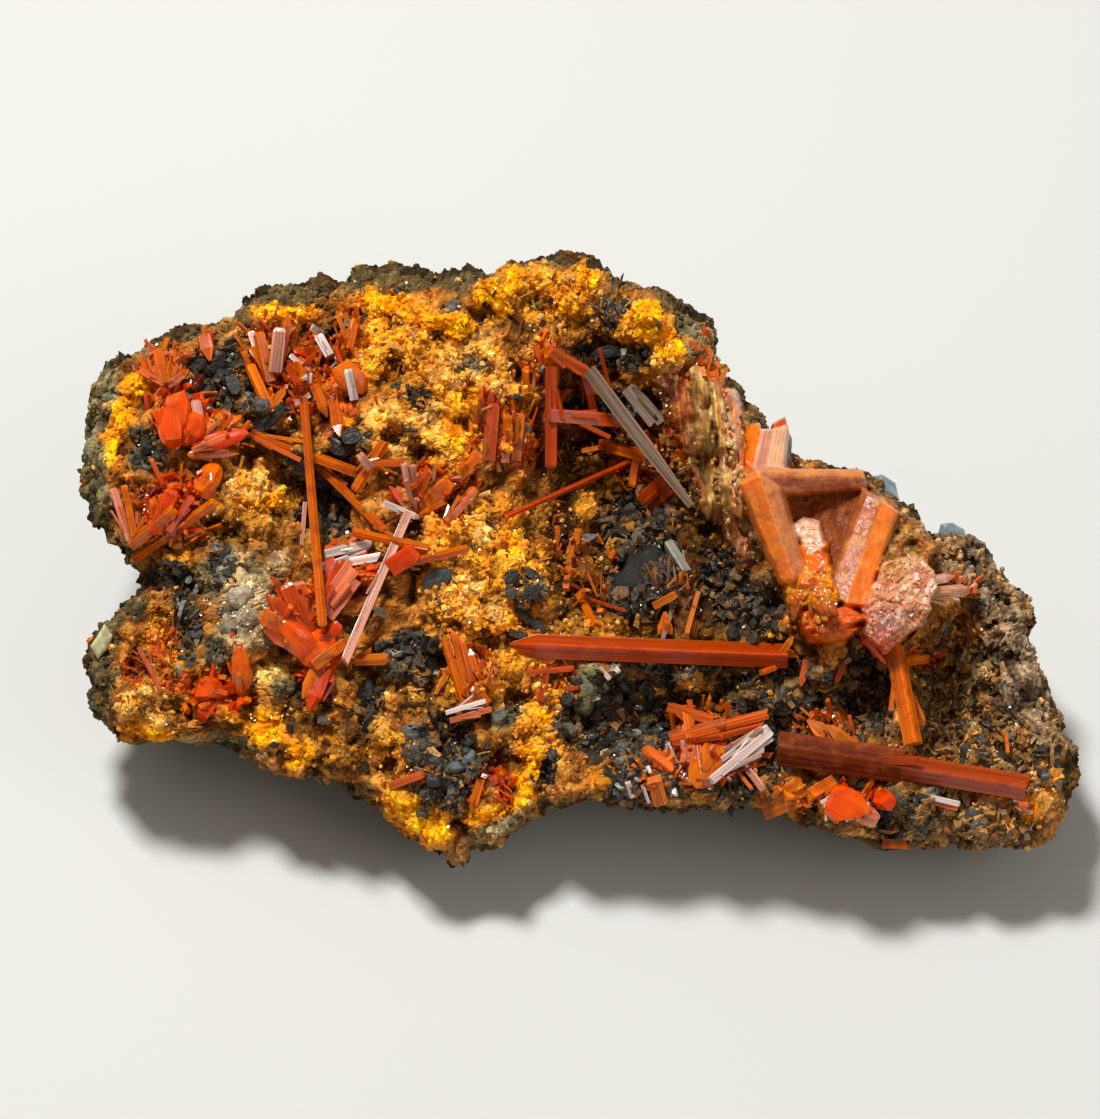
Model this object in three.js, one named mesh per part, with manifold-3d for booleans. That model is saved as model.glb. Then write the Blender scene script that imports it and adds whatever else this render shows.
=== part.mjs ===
// A crocoite specimen: red-orange prisms grown in the hollows of an iron-stained gossan matrix.
// Millimetres, +Z up. It lies on the flat of its base, with the crystal face turned up and forward.
import * as THREE from "three";
import { mergeVertices } from "three/addons/utils/BufferGeometryUtils.js";
import ManifoldModule from "manifold-3d";

const wasm = await ManifoldModule();
wasm.setup();

// Driving sizes. The crystal face is described in the plane that it is looked at in: points are
// [across, down] in that plane, and out is the distance from the plane towards the viewer.
const viewTilt = THREE.MathUtils.degToRad(52); // how far the viewer looks down
const middle = [57.8, 55.4]; // the point of the plane that lies above the frame's origin
const hub = [56, 56]; // the outline is seen whole from here
const reach = [50, 30]; // half length and half height of the outline, about
const faceSlope = -0.28; // the face leans back: out per millimetre up
const baseLevel = -22; // height of the flat base, before the part is moved onto the floor
const backLimit = 32; // the back wall stands about this far behind the middle
const grid = [40, 24]; // cells of the rock surface along and across
const gap = 0.4; // clearance between a crystal and the rock

// The outline of the matrix as it is seen, clockwise from the left notch.
const outline = [
  [13.7, 56.6], [11.9, 55.2], [10.8, 53.7], [8.9, 52.3], [8.1, 49.5], [7.4, 46.3], [7.9, 43.3],
  [7.9, 39.7], [8.8, 38.0], [10.8, 35.3], [12.9, 35.4], [13.7, 34.2], [15.6, 32.6], [18.0, 32.2],
  [20.5, 32.2], [22.4, 31.7], [23.7, 29.7], [25.2, 28.3], [29.6, 27.8], [32.0, 27.3], [34.6, 27.6],
  [35.3, 26.0], [38.6, 25.7], [40.7, 26.6], [43.8, 27.1], [46.9, 25.9], [49.4, 26.8], [50.6, 25.8],
  [54.6, 25.4], [56.2, 24.8], [58.6, 25.0], [60.0, 25.4], [61.5, 27.5], [66.5, 28.6], [70.3, 30.9],
  [71.5, 31.6], [71.4, 36.1], [72.7, 37.8], [74.3, 38.6], [76.4, 42.1], [78.6, 44.7], [81.2, 46.2],
  [84.1, 46.9], [86.9, 47.2], [90.6, 50.4], [92.3, 51.8], [93.6, 53.5], [96.4, 53.7], [98.4, 54.6],
  [99.4, 55.3], [101.6, 58.3], [102.8, 59.5], [104.0, 61.9], [103.9, 63.8], [104.2, 66.2],
  [105.7, 69.8], [105.9, 72.8], [108.0, 74.8], [108.0, 77.8], [106.4, 81.5], [104.8, 83.7],
  [102.1, 85.0], [99.3, 84.5], [96.8, 84.9], [95.2, 84.0], [93.0, 84.6], [88.7, 84.8], [86.6, 83.8],
  [83.5, 83.6], [82.6, 82.6], [80.9, 82.6], [79.0, 81.4], [74.1, 80.5], [68.9, 81.0], [62.1, 80.5],
  [59.5, 79.8], [56.4, 80.4], [54.3, 80.8], [52.3, 82.0], [49.5, 84.7], [46.8, 84.7], [46.3, 85.5],
  [45.4, 86.1], [43.6, 85.2], [39.9, 83.0], [37.8, 80.9], [34.0, 78.2], [29.8, 77.9], [26.7, 77.1],
  [23.2, 74.3], [18.9, 74.0], [12.5, 74.5], [11.2, 74.1], [10.8, 72.9], [9.4, 71.9], [8.9, 70.0],
  [7.9, 66.1], [8.6, 63.8], [11.7, 61.4], [13.9, 58.3],
];

// Mounds and hollows of the face: [across, down], half widths, turn in degrees, rise (less than 0 is a hollow).
const landforms = [
  [[43.5, 37.5], [8.5, 9.5], 0, 4.0], // ochre mound
  [[60.5, 47.5], [7.5, 10.5], 10, -9.0], // deep cavity
  [[56.5, 41.5], [4.0, 5.0], 0, -2.5],
  [[64.0, 71.5], [8.0, 4.0], 0, -4.5], // hollow under the long prism
  [[32.0, 50.0], [4.0, 3.6], 20, -4.5], // dark hollow on the left
  [[27.5, 47.5], [4.0, 2.0], 30, -2.0],
  [[15.5, 44.0], [8.0, 9.0], 0, 2.0], // left lobe
  [[26.4, 41.4], [1.8, 1.4], 30, 1.6], // black lump
  [[34.8, 44.1], [1.9, 1.5], 0, 1.2],
  [[21.5, 38.5], [2.4, 3.4], 0, -1.4], // black gap
  [[24.5, 61.0], [5.0, 4.5], 40, 3.0], // grey ridge
  [[18.0, 60.5], [2.8, 3.5], 0, -2.5],
  [[14.5, 68.5], [6.0, 5.5], 0, 1.5], // lower left lobe
  [[44.0, 76.5], [4.2, 4.8], 0, 2.8], // black boxwork
  [[45.6, 74.1], [1.8, 1.7], 0, -3.6], // the hole in it
  [[49.6, 76.2], [2.0, 2.0], 0, -1.8],
  [[47.0, 57.5], [6.5, 5.5], 0, 1.8],
  [[58.5, 68.9], [2.0, 2.6], 0, 3.0], // grey-green knob
  [[95.0, 67.5], [5.0, 7.5], -10, -6.0], // right hollow
  [[86.3, 69.0], [2.8, 4.6], 10, -4.0],
  [[79.2, 59.5], [1.6, 1.6], 0, -1.6],
  [[103.5, 79.5], [4.5, 4.5], 0, 2.0], // right corner
  [[92.0, 80.5], [8.0, 3.5], 0, 1.5],
  [[27.5, 76.0], [4.0, 2.5], 0, 1.0],
];

// Long ridges of the face: points along the crest, half width, rise.
const ridges = [
  [[[66, 32], [70, 38], [73.5, 47], [78.5, 56], [84, 62], [91, 61.5]], 3.2, 6.5],
  [[[57, 78.3], [65, 78.5], [73, 79], [81, 80.5]], 2.8, 2.4],
  [[[24.5, 30.7], [30, 29.8], [36, 28.6], [44, 29.2], [50, 28.2], [58, 27.6], [66, 30.5]], 2.4, 1.6],
];

// Crystals by node. A row is one prism: from and to in the viewed plane, the height of its axis over
// the rock at each, its width, its thickness, the turn of its section in degrees, the form of its far
// end, and its tint.
const crystals = {
  "long_prism": [
    [[78.7, 65.6], [51.0, 64.5], [2.2, 1.8], 2.6, 2.5, 52, "point", "deep"],
  ],
  "lower_prism": [
    [[77.6, 74.6], [90.0, 76.4], [1.4, 1.9], 3.6, 2.8, 40, "flat", "deep"],
    [[86.0, 75.9], [102.2, 78.5], [1.8, 1.6], 2.7, 2.5, 40, "flat", "deep"],
    [[85.0, 75.4], [80.6, 71.9], [1.6, 1.8], 1.5, 1.0, 0, "point", "amber"],
    [[86.0, 75.2], [82.4, 72.4], [1.9, 2.2], 1.3, 1.0, 0, "point", "amber"],
    [[101.4, 78.3], [102.0, 80.6], [1.2, 0.6], 1.0, 0.9, 0, "blunt", "salmon"],
  ],
  "box_cluster": [
    [[78.7, 57.6], [75.2, 47.4], [1.0, 5.4], 2.6, 2.3, 35, "blunt", "orange"],
    [[75.6, 48.3], [87.2, 47.9], [4.8, 4.6], 2.0, 2.0, 25, "blunt", "salmon"],
    [[84.4, 59.8], [88.1, 50.2], [1.4, 4.2], 3.0, 2.5, 30, "blunt", "salmon"],
    [[79.2, 56.8], [83.8, 49.8], [0.8, 1.4], 6.4, 1.2, 0, "flat", "deep"],
    [[80.9, 57.6], [80.7, 52.4], [1.7, 2.4], 3.1, 1.4, 0, "blunt", "frosted"],
    [[78.6, 59.2], [84.6, 59.0], [2.0, 2.4], 4.2, 2.4, 10, "blunt", "orange"],
    [[80.2, 62.8], [85.4, 62.6], [0.8, 1.6], 2.6, 2.2, 20, "blunt", "salmon"],
    [[81.4, 57.6], [81.8, 63.0], [0.9, 0.8], 3.0, 1.8, 0, "flat", "amber"],
    [[76.4, 47.6], [77.8, 42.2], [2.6, 3.4], 3.1, 2.4, 38, "slant", "lilac"],
    [[75.7, 47.4], [75.9, 42.4], [2.4, 2.8], 1.6, 1.8, 30, "blunt", "orange"],
    [[84.8, 60.4], [90.2, 51.6], [1.0, 2.2], 6.2, 3.0, 0, "blunt", "amber"],
    [[89.0, 64.4], [90.6, 55.4], [2.2, 3.0], 7.0, 3.2, 8, "blunt", "frosted"],
    [[87.4, 63.4], [90.2, 57.6], [2.8, 3.4], 4.2, 2.6, 14, "blunt", "frosted"],
    [[92.0, 59.4], [97.4, 58.9], [2.2, 0.8], 1.3, 1.2, 20, "point", "frosted"],
    [[89.2, 64.6], [91.0, 74.3], [1.9, 3.4], 2.2, 1.8, 25, "blunt", "orange"],
    [[88.6, 66.3], [92.9, 65.8], [2.2, 1.6], 1.2, 1.1, 20, "blunt", "orange"],
    [[86.2, 63.6], [89.6, 66.2], [2.0, 2.3], 1.3, 1.2, 20, "blunt", "red"],
    [[91.0, 69.6], [92.3, 72.6], [2.9, 2.0], 0.8, 0.7, 0, "point", "orange"],
  ],
  "wall_slabs": [
    [[71.2, 48.6], [70.6, 41.4], [1.0, 1.8], 3.8, 2.4, 20, "blunt", "amber"],
    [[73.6, 49.0], [72.8, 42.2], [0.8, 1.2], 2.0, 2.0, 30, "blunt", "amber"],
    [[69.8, 43.0], [67.6, 39.0], [0.4, 1.0], 2.8, 1.6, 0, "slant", "deep"],
  ],
  "upright_prism": [
    [[30.2, 39.7], [32.4, 62.6], [1.3, 4.2], 0.95, 0.9, 30, "blunt", "orange"],
  ],
  "cross_prisms": [
    [[24.9, 43.2], [35.5, 47.2], [0.9, 1.3], 1.15, 1.0, 20, "blunt", "orange"],
    [[24.4, 43.3], [30.0, 46.0], [0.7, 1.3], 0.5, 0.5, 0, "flat", "salmon"],
  ],
  "slant_prism": [
    [[31.6, 46.4], [38.5, 53.1], [-0.4, 1.6], 0.95, 0.9, 25, "blunt", "orange"],
  ],
  "crossed_pair": [
    [[36.4, 46.3], [40.3, 46.3], [2.6, 1.0], 0.8, 0.8, 15, "blunt", "orange"],
    [[38.4, 44.1], [35.4, 49.1], [1.6, 3.4], 1.2, 1.0, 30, "blunt", "orange"],
    [[36.9, 46.7], [36.0, 45.5], [2.8, 3.2], 0.9, 0.9, 0, "blunt", "lilac"],
  ],
  "mid_cluster": [
    [[41.5, 51.0], [40.7, 46.2], [0.4, 2.0], 1.3, 1.0, 20, "slant", "lilac"],
    [[41.4, 51.0], [42.9, 46.9], [0.4, 1.8], 1.0, 0.9, 40, "slant", "salmon"],
    [[41.6, 51.4], [44.9, 48.2], [0.2, 1.2], 1.7, 1.0, 0, "blunt", "orange"],
    [[41.2, 51.4], [38.9, 48.6], [0.3, 1.2], 1.2, 0.9, 20, "point", "red"],
  ],
  "amber_blade_upper": [
    [[45.6, 47.9], [47.9, 45.2], [0.4, 1.2], 1.3, 1.0, 20, "blunt", "orange"],
  ],
  "amber_blade_lower": [
    [[44.6, 52.2], [47.5, 48.8], [0.5, 1.7], 1.1, 0.9, 20, "blunt", "orange"],
  ],
  "slope_bundle": [
    [[48.8, 46.0], [49.3, 40.2], [0.3, 0.9], 1.5, 1.2, 10, "blunt", "amber"],
    [[50.3, 46.2], [50.5, 40.4], [0.4, 1.2], 1.3, 1.2, 30, "point", "orange"],
    [[51.5, 46.0], [51.9, 41.2], [0.3, 1.0], 1.2, 1.1, 10, "blunt", "amber"],
  ],
  "pocket_frame": [
    [[55.0, 34.9], [58.9, 37.1], [1.6, 2.2], 1.3, 1.0, 10, "blunt", "salmon"],
    [[55.1, 36.4], [55.1, 46.7], [1.0, 3.4], 1.2, 1.0, 0, "blunt", "deep"],
    [[54.9, 41.4], [62.6, 41.9], [3.1, 4.2], 1.4, 1.1, 0, "blunt", "deep"],
    [[58.4, 36.8], [59.7, 41.8], [2.0, 3.7], 0.8, 0.8, 0, "flat", "deep"],
    [[55.2, 35.2], [55.1, 38.0], [0.9, 1.6], 1.6, 1.2, 0, "flat", "orange"],
    [[54.8, 37.4], [53.5, 34.4], [1.4, 1.6], 1.1, 0.9, 20, "point", "salmon"],
    [[55.2, 36.8], [54.6, 33.6], [1.2, 1.4], 0.8, 0.8, 20, "point", "orange"],
  ],
  "weathered_prism": [
    [[59.0, 36.9], [69.2, 50.6], [3.2, 1.1], 1.5, 1.2, 40, "long", "weathered"],
  ],
  "grey_blade": [
    [[62.9, 38.5], [66.1, 42.5], [1.2, 1.6], 1.5, 0.8, 10, "slant", "weathered"],
  ],
  "slender_prism": [
    [[63.4, 45.9], [50.5, 51.7], [2.6, 0.8], 0.62, 0.6, 40, "blunt", "deep"],
    [[60.2, 44.2], [64.9, 45.6], [2.0, 2.6], 1.3, 1.2, 15, "blunt", "orange"],
    [[64.0, 45.0], [63.4, 48.6], [2.3, 1.6], 1.1, 1.0, 25, "blunt", "orange"],
    [[60.8, 44.4], [58.2, 44.9], [2.0, 1.4], 0.5, 0.5, 0, "blunt", "orange"],
  ],
  "red_plate": [
    [[64.6, 50.4], [67.2, 47.9], [0.8, 1.4], 2.2, 0.9, 0, "slant", "deep"],
  ],
  "centre_spray": [
    [[42.9, 54.9], [35.3, 53.2], [1.4, 2.8], 1.0, 0.9, 20, "blunt", "orange"],
    [[39.8, 56.6], [46.9, 54.8], [1.4, 1.8], 0.9, 0.9, 30, "blunt", "orange"],
    [[39.1, 56.8], [41.7, 55.0], [0.9, 1.4], 1.9, 1.6, 0, "blunt", "red"],
    [[40.8, 51.3], [34.6, 66.1], [2.2, 3.4], 0.9, 0.9, 0, "slant", "lilac"],
    [[38.4, 50.3], [41.9, 51.8], [2.4, 1.6], 0.7, 0.6, 0, "point", "glint"],
  ],
  "glassy_sheaf": [
    [[32.4, 55.4], [37.1, 54.3], [0.8, 1.1], 0.9, 0.8, 0, "slant", "glint"],
    [[32.0, 56.7], [37.9, 55.7], [0.8, 1.0], 0.9, 0.8, 0, "slant", "glint"],
    [[32.6, 57.9], [34.6, 56.1], [1.1, 1.4], 0.7, 0.6, 0, "blunt", "red"],
    [[32.3, 61.4], [35.5, 56.9], [0.6, 1.3], 2.3, 1.1, 0, "slant", "pinkish"],
    [[32.2, 60.4], [33.9, 56.4], [0.6, 1.0], 1.2, 1.0, 10, "flat", "red"],
    [[33.0, 58.6], [32.9, 54.6], [0.4, 0.6], 1.0, 0.8, 0, "flat", "red"],
  ],
  "red_fan": [
    [[31.8, 65.6], [27.2, 61.2], [0.9, 1.6], 4.8, 1.6, 0, "slant", "salmon"],
    [[30.4, 64.0], [29.3, 58.4], [0.6, 1.2], 2.2, 1.2, 0, "point", "salmon"],
    [[33.6, 64.8], [30.9, 71.0], [1.6, 1.4], 1.9, 1.6, 20, "point", "red"],
    [[30.4, 66.4], [34.0, 62.3], [1.2, 2.4], 1.8, 1.5, 20, "blunt", "red"],
    [[30.6, 64.6], [31.4, 69.0], [1.0, 1.4], 2.8, 1.5, 0, "point", "red"],
    [[27.8, 63.8], [26.3, 61.4], [1.2, 1.7], 1.0, 0.9, 0, "blunt", "pinkish"],
  ],
  "amber_stub": [
    [[35.6, 66.0], [38.9, 65.8], [0.7, 0.9], 1.2, 1.1, 30, "blunt", "amber"],
  ],
  "orange_sheaf": [
    [[47.1, 70.9], [45.0, 63.4], [0.9, 1.5], 1.8, 1.4, 25, "slant", "orange"],
    [[48.9, 70.4], [46.9, 64.4], [0.6, 1.1], 1.2, 1.0, 20, "slant", "orange"],
    [[45.0, 72.0], [49.2, 70.8], [1.3, 1.4], 0.6, 0.7, 0, "blunt", "pinkish"],
  ],
  "left_cluster": [
    [[17.9, 44.9], [18.1, 39.2], [0.8, 2.8], 2.8, 2.4, 25, "blunt", "red"],
    [[20.0, 42.9], [19.4, 40.0], [0.8, 2.0], 1.0, 1.0, 0, "blunt", "lilac"],
    [[19.9, 43.4], [20.2, 40.6], [0.4, 1.2], 1.3, 1.2, 15, "point", "red"],
    [[18.8, 44.2], [23.8, 42.1], [0.9, 1.8], 1.8, 1.4, 20, "blunt", "orange"],
    [[18.6, 45.3], [24.2, 44.5], [0.5, 1.2], 1.0, 0.9, 20, "blunt", "orange"],
    [[18.8, 45.6], [22.6, 43.6], [1.2, 1.8], 0.8, 0.8, 0, "slant", "pinkish"],
  ],
  "left_blob": [
    [[20.3, 49.8], [21.3, 46.8], [0.4, 0.9], 2.3, 1.5, 0, "point", "orange"],
  ],
  "lower_left_spray": [
    [[13.2, 55.9], [21.6, 50.2], [1.7, 2.3], 1.1, 1.1, 30, "blunt", "orange"],
    [[13.0, 54.5], [17.5, 51.0], [1.0, 1.4], 1.4, 1.2, 20, "blunt", "orange"],
    [[16.8, 53.2], [19.2, 49.6], [1.2, 1.8], 0.8, 0.8, 20, "blunt", "red"],
    [[12.9, 54.0], [11.2, 48.8], [0.8, 1.7], 0.9, 0.9, 20, "blunt", "pinkish"],
    [[13.5, 54.0], [12.3, 48.5], [0.9, 1.5], 0.7, 0.8, 0, "blunt", "orange"],
    [[15.4, 53.2], [17.3, 49.0], [0.6, 1.8], 1.5, 1.3, 0, "blunt", "red"],
  ],
  "top_left_cluster": [
    [[16.2, 38.3], [13.7, 36.9], [0.5, 1.4], 0.9, 0.9, 10, "blunt", "salmon"],
    [[16.3, 38.4], [15.3, 34.9], [0.5, 1.8], 1.3, 1.1, 20, "blunt", "orange"],
    [[16.9, 38.2], [16.8, 34.9], [0.4, 1.5], 0.9, 0.9, 20, "blunt", "salmon"],
    [[16.4, 38.4], [18.6, 36.8], [0.4, 1.0], 1.0, 0.9, 10, "point", "orange"],
  ],
  "brown_wedge": [
    [[20.1, 33.4], [20.7, 35.9], [0.6, 0.8], 1.3, 0.9, 0, "point", "salmon"],
  ],
  "dark_cubes": [
    [[19.0, 38.9], [19.9, 37.4], [0.3, 0.9], 1.1, 1.1, 45, "blunt", "dark"],
  ],
  "top_cluster": [
    [[26.7, 38.0], [25.6, 33.0], [0.6, 2.0], 1.3, 1.2, 20, "blunt", "orange"],
    [[27.3, 37.0], [27.8, 32.6], [0.8, 2.2], 1.3, 1.2, 0, "blunt", "lilac"],
    [[27.6, 36.4], [28.6, 31.2], [0.6, 1.6], 1.1, 1.0, 20, "point", "orange"],
    [[26.2, 36.8], [24.8, 32.9], [0.5, 1.2], 0.8, 0.8, 0, "blunt", "glint"],
  ],
  "top_cluster_low": [
    [[26.9, 41.0], [24.7, 36.4], [0.5, 1.2], 1.2, 1.1, 20, "blunt", "orange"],
    [[27.0, 40.8], [28.3, 38.6], [0.4, 0.9], 0.9, 0.9, 20, "point", "amber"],
  ],
  "white_rod": [
    [[30.6, 37.0], [28.8, 35.3], [0.2, 1.3], 0.55, 0.5, 0, "blunt", "glint"],
  ],
  "striated_block": [
    [[32.8, 35.4], [31.6, 33.3], [0.6, 1.2], 1.0, 0.9, 0, "blunt", "glint"],
  ],
  "amber_slab_left": [
    [[31.3, 38.3], [32.6, 41.6], [0.4, 0.7], 1.2, 1.0, 10, "point", "orange"],
  ],
  "amber_slab_right": [
    [[33.2, 39.9], [33.9, 43.6], [0.5, 0.7], 1.2, 1.0, 10, "point", "orange"],
  ],
  "upper_prism": [
    [[34.7, 34.8], [35.3, 31.7], [0.5, 1.3], 1.0, 1.0, 20, "blunt", "orange"],
    [[34.6, 34.0], [33.6, 31.3], [0.4, 0.9], 0.5, 0.6, 0, "blunt", "amber"],
  ],
  "right_block": [
    [[35.3, 39.8], [34.7, 36.8], [0.9, 1.4], 0.9, 0.8, 0, "blunt", "glint"],
    [[35.9, 38.9], [33.9, 36.1], [0.5, 0.9], 2.2, 1.2, 0, "slant", "orange"],
  ],
  "front_sheaf": [
    [[69.6, 78.2], [73.0, 74.2], [0.9, 1.6], 3.2, 2.0, 0, "slant", "orange"],
    [[67.6, 73.8], [76.6, 71.8], [1.6, 3.0], 1.2, 1.2, 20, "blunt", "salmon"],
    [[71.2, 77.4], [76.7, 73.4], [1.9, 2.6], 1.1, 1.0, 0, "blunt", "glint"],
    [[72.4, 74.9], [76.4, 72.9], [2.0, 2.8], 0.7, 0.9, 0, "blunt", "glint"],
    [[68.9, 76.4], [69.2, 72.8], [1.2, 2.0], 1.8, 1.2, 0, "slant", "salmon"],
    [[73.6, 75.4], [76.0, 78.6], [2.0, 1.6], 0.7, 0.7, 0, "blunt", "lilac"],
    [[67.0, 70.7], [71.4, 72.0], [1.4, 2.0], 1.1, 1.0, 10, "blunt", "salmon"],
    [[69.0, 74.0], [68.6, 70.8], [1.6, 1.6], 0.9, 0.9, 0, "flat", "salmon"],
  ],
  "salmon_rubble": [
    [[64.3, 74.9], [66.7, 76.7], [0.6, 0.8], 1.6, 1.3, 0, "slant", "salmon"],
  ],
  "amber_plate": [
    [[65.3, 77.7], [66.0, 80.2], [0.9, 0.7], 1.5, 0.9, 0, "blunt", "amber"],
  ],
  "front_cluster": [
    [[83.0, 78.0], [80.7, 79.2], [0.8, 1.4], 1.4, 1.2, 10, "blunt", "orange"],
    [[82.4, 79.5], [86.0, 81.2], [0.7, 1.2], 2.8, 1.9, 20, "blunt", "red"],
    [[85.4, 80.8], [87.3, 81.7], [1.0, 1.4], 2.0, 1.5, 10, "blunt", "pinkish"],
    [[81.9, 79.9], [84.0, 78.8], [1.5, 1.7], 0.4, 0.5, 0, "blunt", "glint"],
  ],
  "knob": [
    [[87.6, 79.4], [88.5, 80.2], [0.2, 1.6], 1.5, 1.4, 22, "blunt", "red"],
  ],
  "amber_block": [
    [[76.3, 80.6], [79.9, 78.9], [0.6, 0.9], 2.2, 1.4, 0, "slant", "amber"],
  ],
  "ridge_blades": [
    [[71.4, 39.2], [71.3, 36.2], [0.3, 0.9], 1.2, 1.0, 0, "blunt", "orange"],
    [[72.3, 40.4], [72.1, 37.5], [0.3, 0.9], 0.9, 0.9, 0, "blunt", "orange"],
    [[71.6, 39.6], [72.4, 39.8], [0.3, 0.3], 1.4, 1.0, 0, "flat", "orange"],
  ],
  "red_chunks": [
    [[19.8, 68.8], [22.7, 69.2], [0.7, 0.8], 1.9, 1.4, 0, "slant", "red"],
    [[20.2, 71.6], [21.7, 69.4], [0.5, 0.7], 1.4, 1.1, 0, "point", "red"],
    [[24.2, 69.2], [24.0, 65.2], [0.7, 1.5], 1.8, 1.4, 20, "point", "red"],
    [[22.0, 69.3], [24.4, 68.3], [0.6, 0.9], 1.1, 1.0, 0, "flat", "red"],
  ],
  "thin_blade": [
    [[57.3, 54.2], [56.6, 59.0], [0.9, 1.0], 0.8, 0.8, 10, "blunt", "amber"],
  ],
  "slim_prism": [
    [[57.9, 59.4], [59.6, 62.6], [0.5, 0.8], 0.9, 0.8, 20, "flat", "orange"],
  ],
  "spike": [
    [[66.5, 63.3], [66.5, 61.2], [0.7, 1.4], 1.6, 1.3, 0, "point", "orange"],
  ],
  "grey_crystal": [
    [[68.7, 57.3], [66.8, 54.2], [0.5, 1.0], 1.2, 1.0, 20, "blunt", "grey"],
  ],
  "under_prisms": [
    [[52.7, 67.2], [57.4, 66.8], [0.5, 0.7], 0.6, 0.6, 0, "blunt", "deep"],
    [[54.7, 66.8], [54.0, 70.1], [0.5, 0.5], 0.7, 0.7, 0, "flat", "deep"],
  ],
  "red_pair": [
    [[47.7, 78.6], [50.5, 77.2], [0.5, 0.8], 1.2, 1.0, 20, "blunt", "red"],
    [[48.1, 77.8], [47.2, 80.9], [0.5, 0.7], 0.9, 0.9, 0, "point", "orange"],
  ],
};

// Small chips stuck to the edge: corners, out from the rock at the middle, thickness, tint.
const chips = {
  "pale_chip": [
    [[10.4, 62.4], [11.4, 63.5], [10.8, 64.9], [9.8, 66.0], [8.9, 64.4], [9.9, 64.0]], 0.4, 1.0, "palegreen",
  ],
  "blue_chip_upper": [
    [[86.9, 47.6], [88.6, 47.3], [90.0, 48.2], [90.0, 49.8], [88.6, 49.6]], -1.4, 1.2, "bluegrey",
  ],
  "blue_chip_lower": [
    [[94.1, 53.4], [94.4, 52.3], [95.6, 52.2], [96.8, 52.9], [97.0, 53.6], [95.0, 54.6]], -1.0, 1.4, "bluegrey",
  ],
};

// Colour, roughness and opacity by tint.
const tints = {
  deep: [0xa83a14, 0.25, 0.9],
  orange: [0xe8600f, 0.25, 0.9],
  red: [0xe04010, 0.22, 0.9],
  amber: [0xb8601c, 0.4, 0.95],
  salmon: [0xcf7450, 0.4, 0.95],
  pinkish: [0xd88a70, 0.3, 0.95],
  lilac: [0xd8a8a0, 0.2, 0.95],
  glint: [0xead2c8, 0.12, 0.95],
  frosted: [0xc88070, 0.45, 1.0],
  weathered: [0x9a8478, 0.5, 1.0],
  dark: [0x5a2018, 0.2, 0.9],
  grey: [0x8a8a78, 0.5, 1.0],
  palegreen: [0xa3ac7c, 0.5, 1.0],
  bluegrey: [0x7e949a, 0.3, 0.9],
};

// The three directions of the viewed plane, in the part's frame.
const across = new THREE.Vector3(1, 0, 0);
const upward = new THREE.Vector3(0, Math.sin(viewTilt), Math.cos(viewTilt));
const outward = new THREE.Vector3(0, -Math.cos(viewTilt), Math.sin(viewTilt));

// A point of the viewed plane, moved out by a depth, in the part's frame.
function place([a, d], out) {
  const point = across.clone().multiplyScalar(a - middle[0]);
  point.addScaledVector(upward, middle[1] - d);
  return point.addScaledVector(outward, out);
}

// How far the outline lies from the hub along a direction, in shares of the reach.
const edges = outline.map((p, i) => {
  const q = outline[(i + 1) % outline.length];
  const scaled = ([a, d]) => [(a - hub[0]) / reach[0], (hub[1] - d) / reach[1]];
  return [scaled(p), scaled(q)];
});
function outlineShare(x, y) {
  let farthest = 0;
  for (const [[ax, ay], [bx, by]] of edges) {
    const from = ax * y - ay * x;
    const to = bx * y - by * x;
    if (from * to > 0 || from === to) continue;
    const t = from / (from - to);
    const along = (ax + (bx - ax) * t) * x + (ay + (by - ay) * t) * y;
    farthest = Math.max(farthest, along);
  }
  return farthest;
}

// The share of the way from the hub to the outline at which a point lies: 1 on the outline.
function shareOut([a, d]) {
  const x = (a - hub[0]) / reach[0];
  const y = (hub[1] - d) / reach[1];
  const r = Math.hypot(x, y);
  return r < 1e-6 ? 0 : r / outlineShare(x / r, y / r);
}

// Distance from a point to a chain of points.
function distanceTo([a, d], chain) {
  let nearest = Infinity;
  for (let i = 1; i < chain.length; i++) {
    const [pa, pd] = chain[i - 1];
    const [qa, qd] = chain[i];
    const length = (qa - pa) ** 2 + (qd - pd) ** 2;
    const t = THREE.MathUtils.clamp(((a - pa) * (qa - pa) + (d - pd) * (qd - pd)) / length, 0, 1);
    nearest = Math.min(nearest, Math.hypot(a - pa - t * (qa - pa), d - pd - t * (qd - pd)));
  }
  return nearest;
}

// Rough rock: crests and troughs of a few wavelengths, summed.
function roughness(a, d) {
  let sum = 0;
  for (const [length, turn, phase] of [[8.7, 0.5, 1.1], [6.1, 1.7, 4.0], [4.6, 2.6, 0.4], [3.7, 1.1, 2.6]]) {
    const along = (a * Math.cos(turn) + d * Math.sin(turn)) / length;
    const other = (d * Math.cos(turn) - a * Math.sin(turn)) / (1.37 * length);
    sum += 0.11 * length * Math.sin(2 * Math.PI * along + phase) * Math.cos(2 * Math.PI * other + 2 * phase);
  }
  return sum;
}

// The depth of the face at a point of the viewed plane.
function faceDepth([a, d]) {
  let depth = faceSlope * (middle[1] - d);
  for (const [[ca, cd], [ra, rd], turn, rise] of landforms) {
    const angle = THREE.MathUtils.degToRad(turn);
    const x = ((a - ca) * Math.cos(angle) + (d - cd) * Math.sin(angle)) / ra;
    const y = ((d - cd) * Math.cos(angle) - (a - ca) * Math.sin(angle)) / rd;
    depth += rise * Math.exp(-((x * x + y * y) ** 1.4));
  }
  for (const [chain, halfWidth, rise] of ridges) {
    depth += rise * Math.exp(-((distanceTo([a, d], chain) / halfWidth) ** 2));
  }
  depth += roughness(a, d);
  // the rim is rounded off
  return depth - 5.5 * Math.exp(-Math.max(0, 1 - shareOut([a, d])) / 0.035);
}

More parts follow.
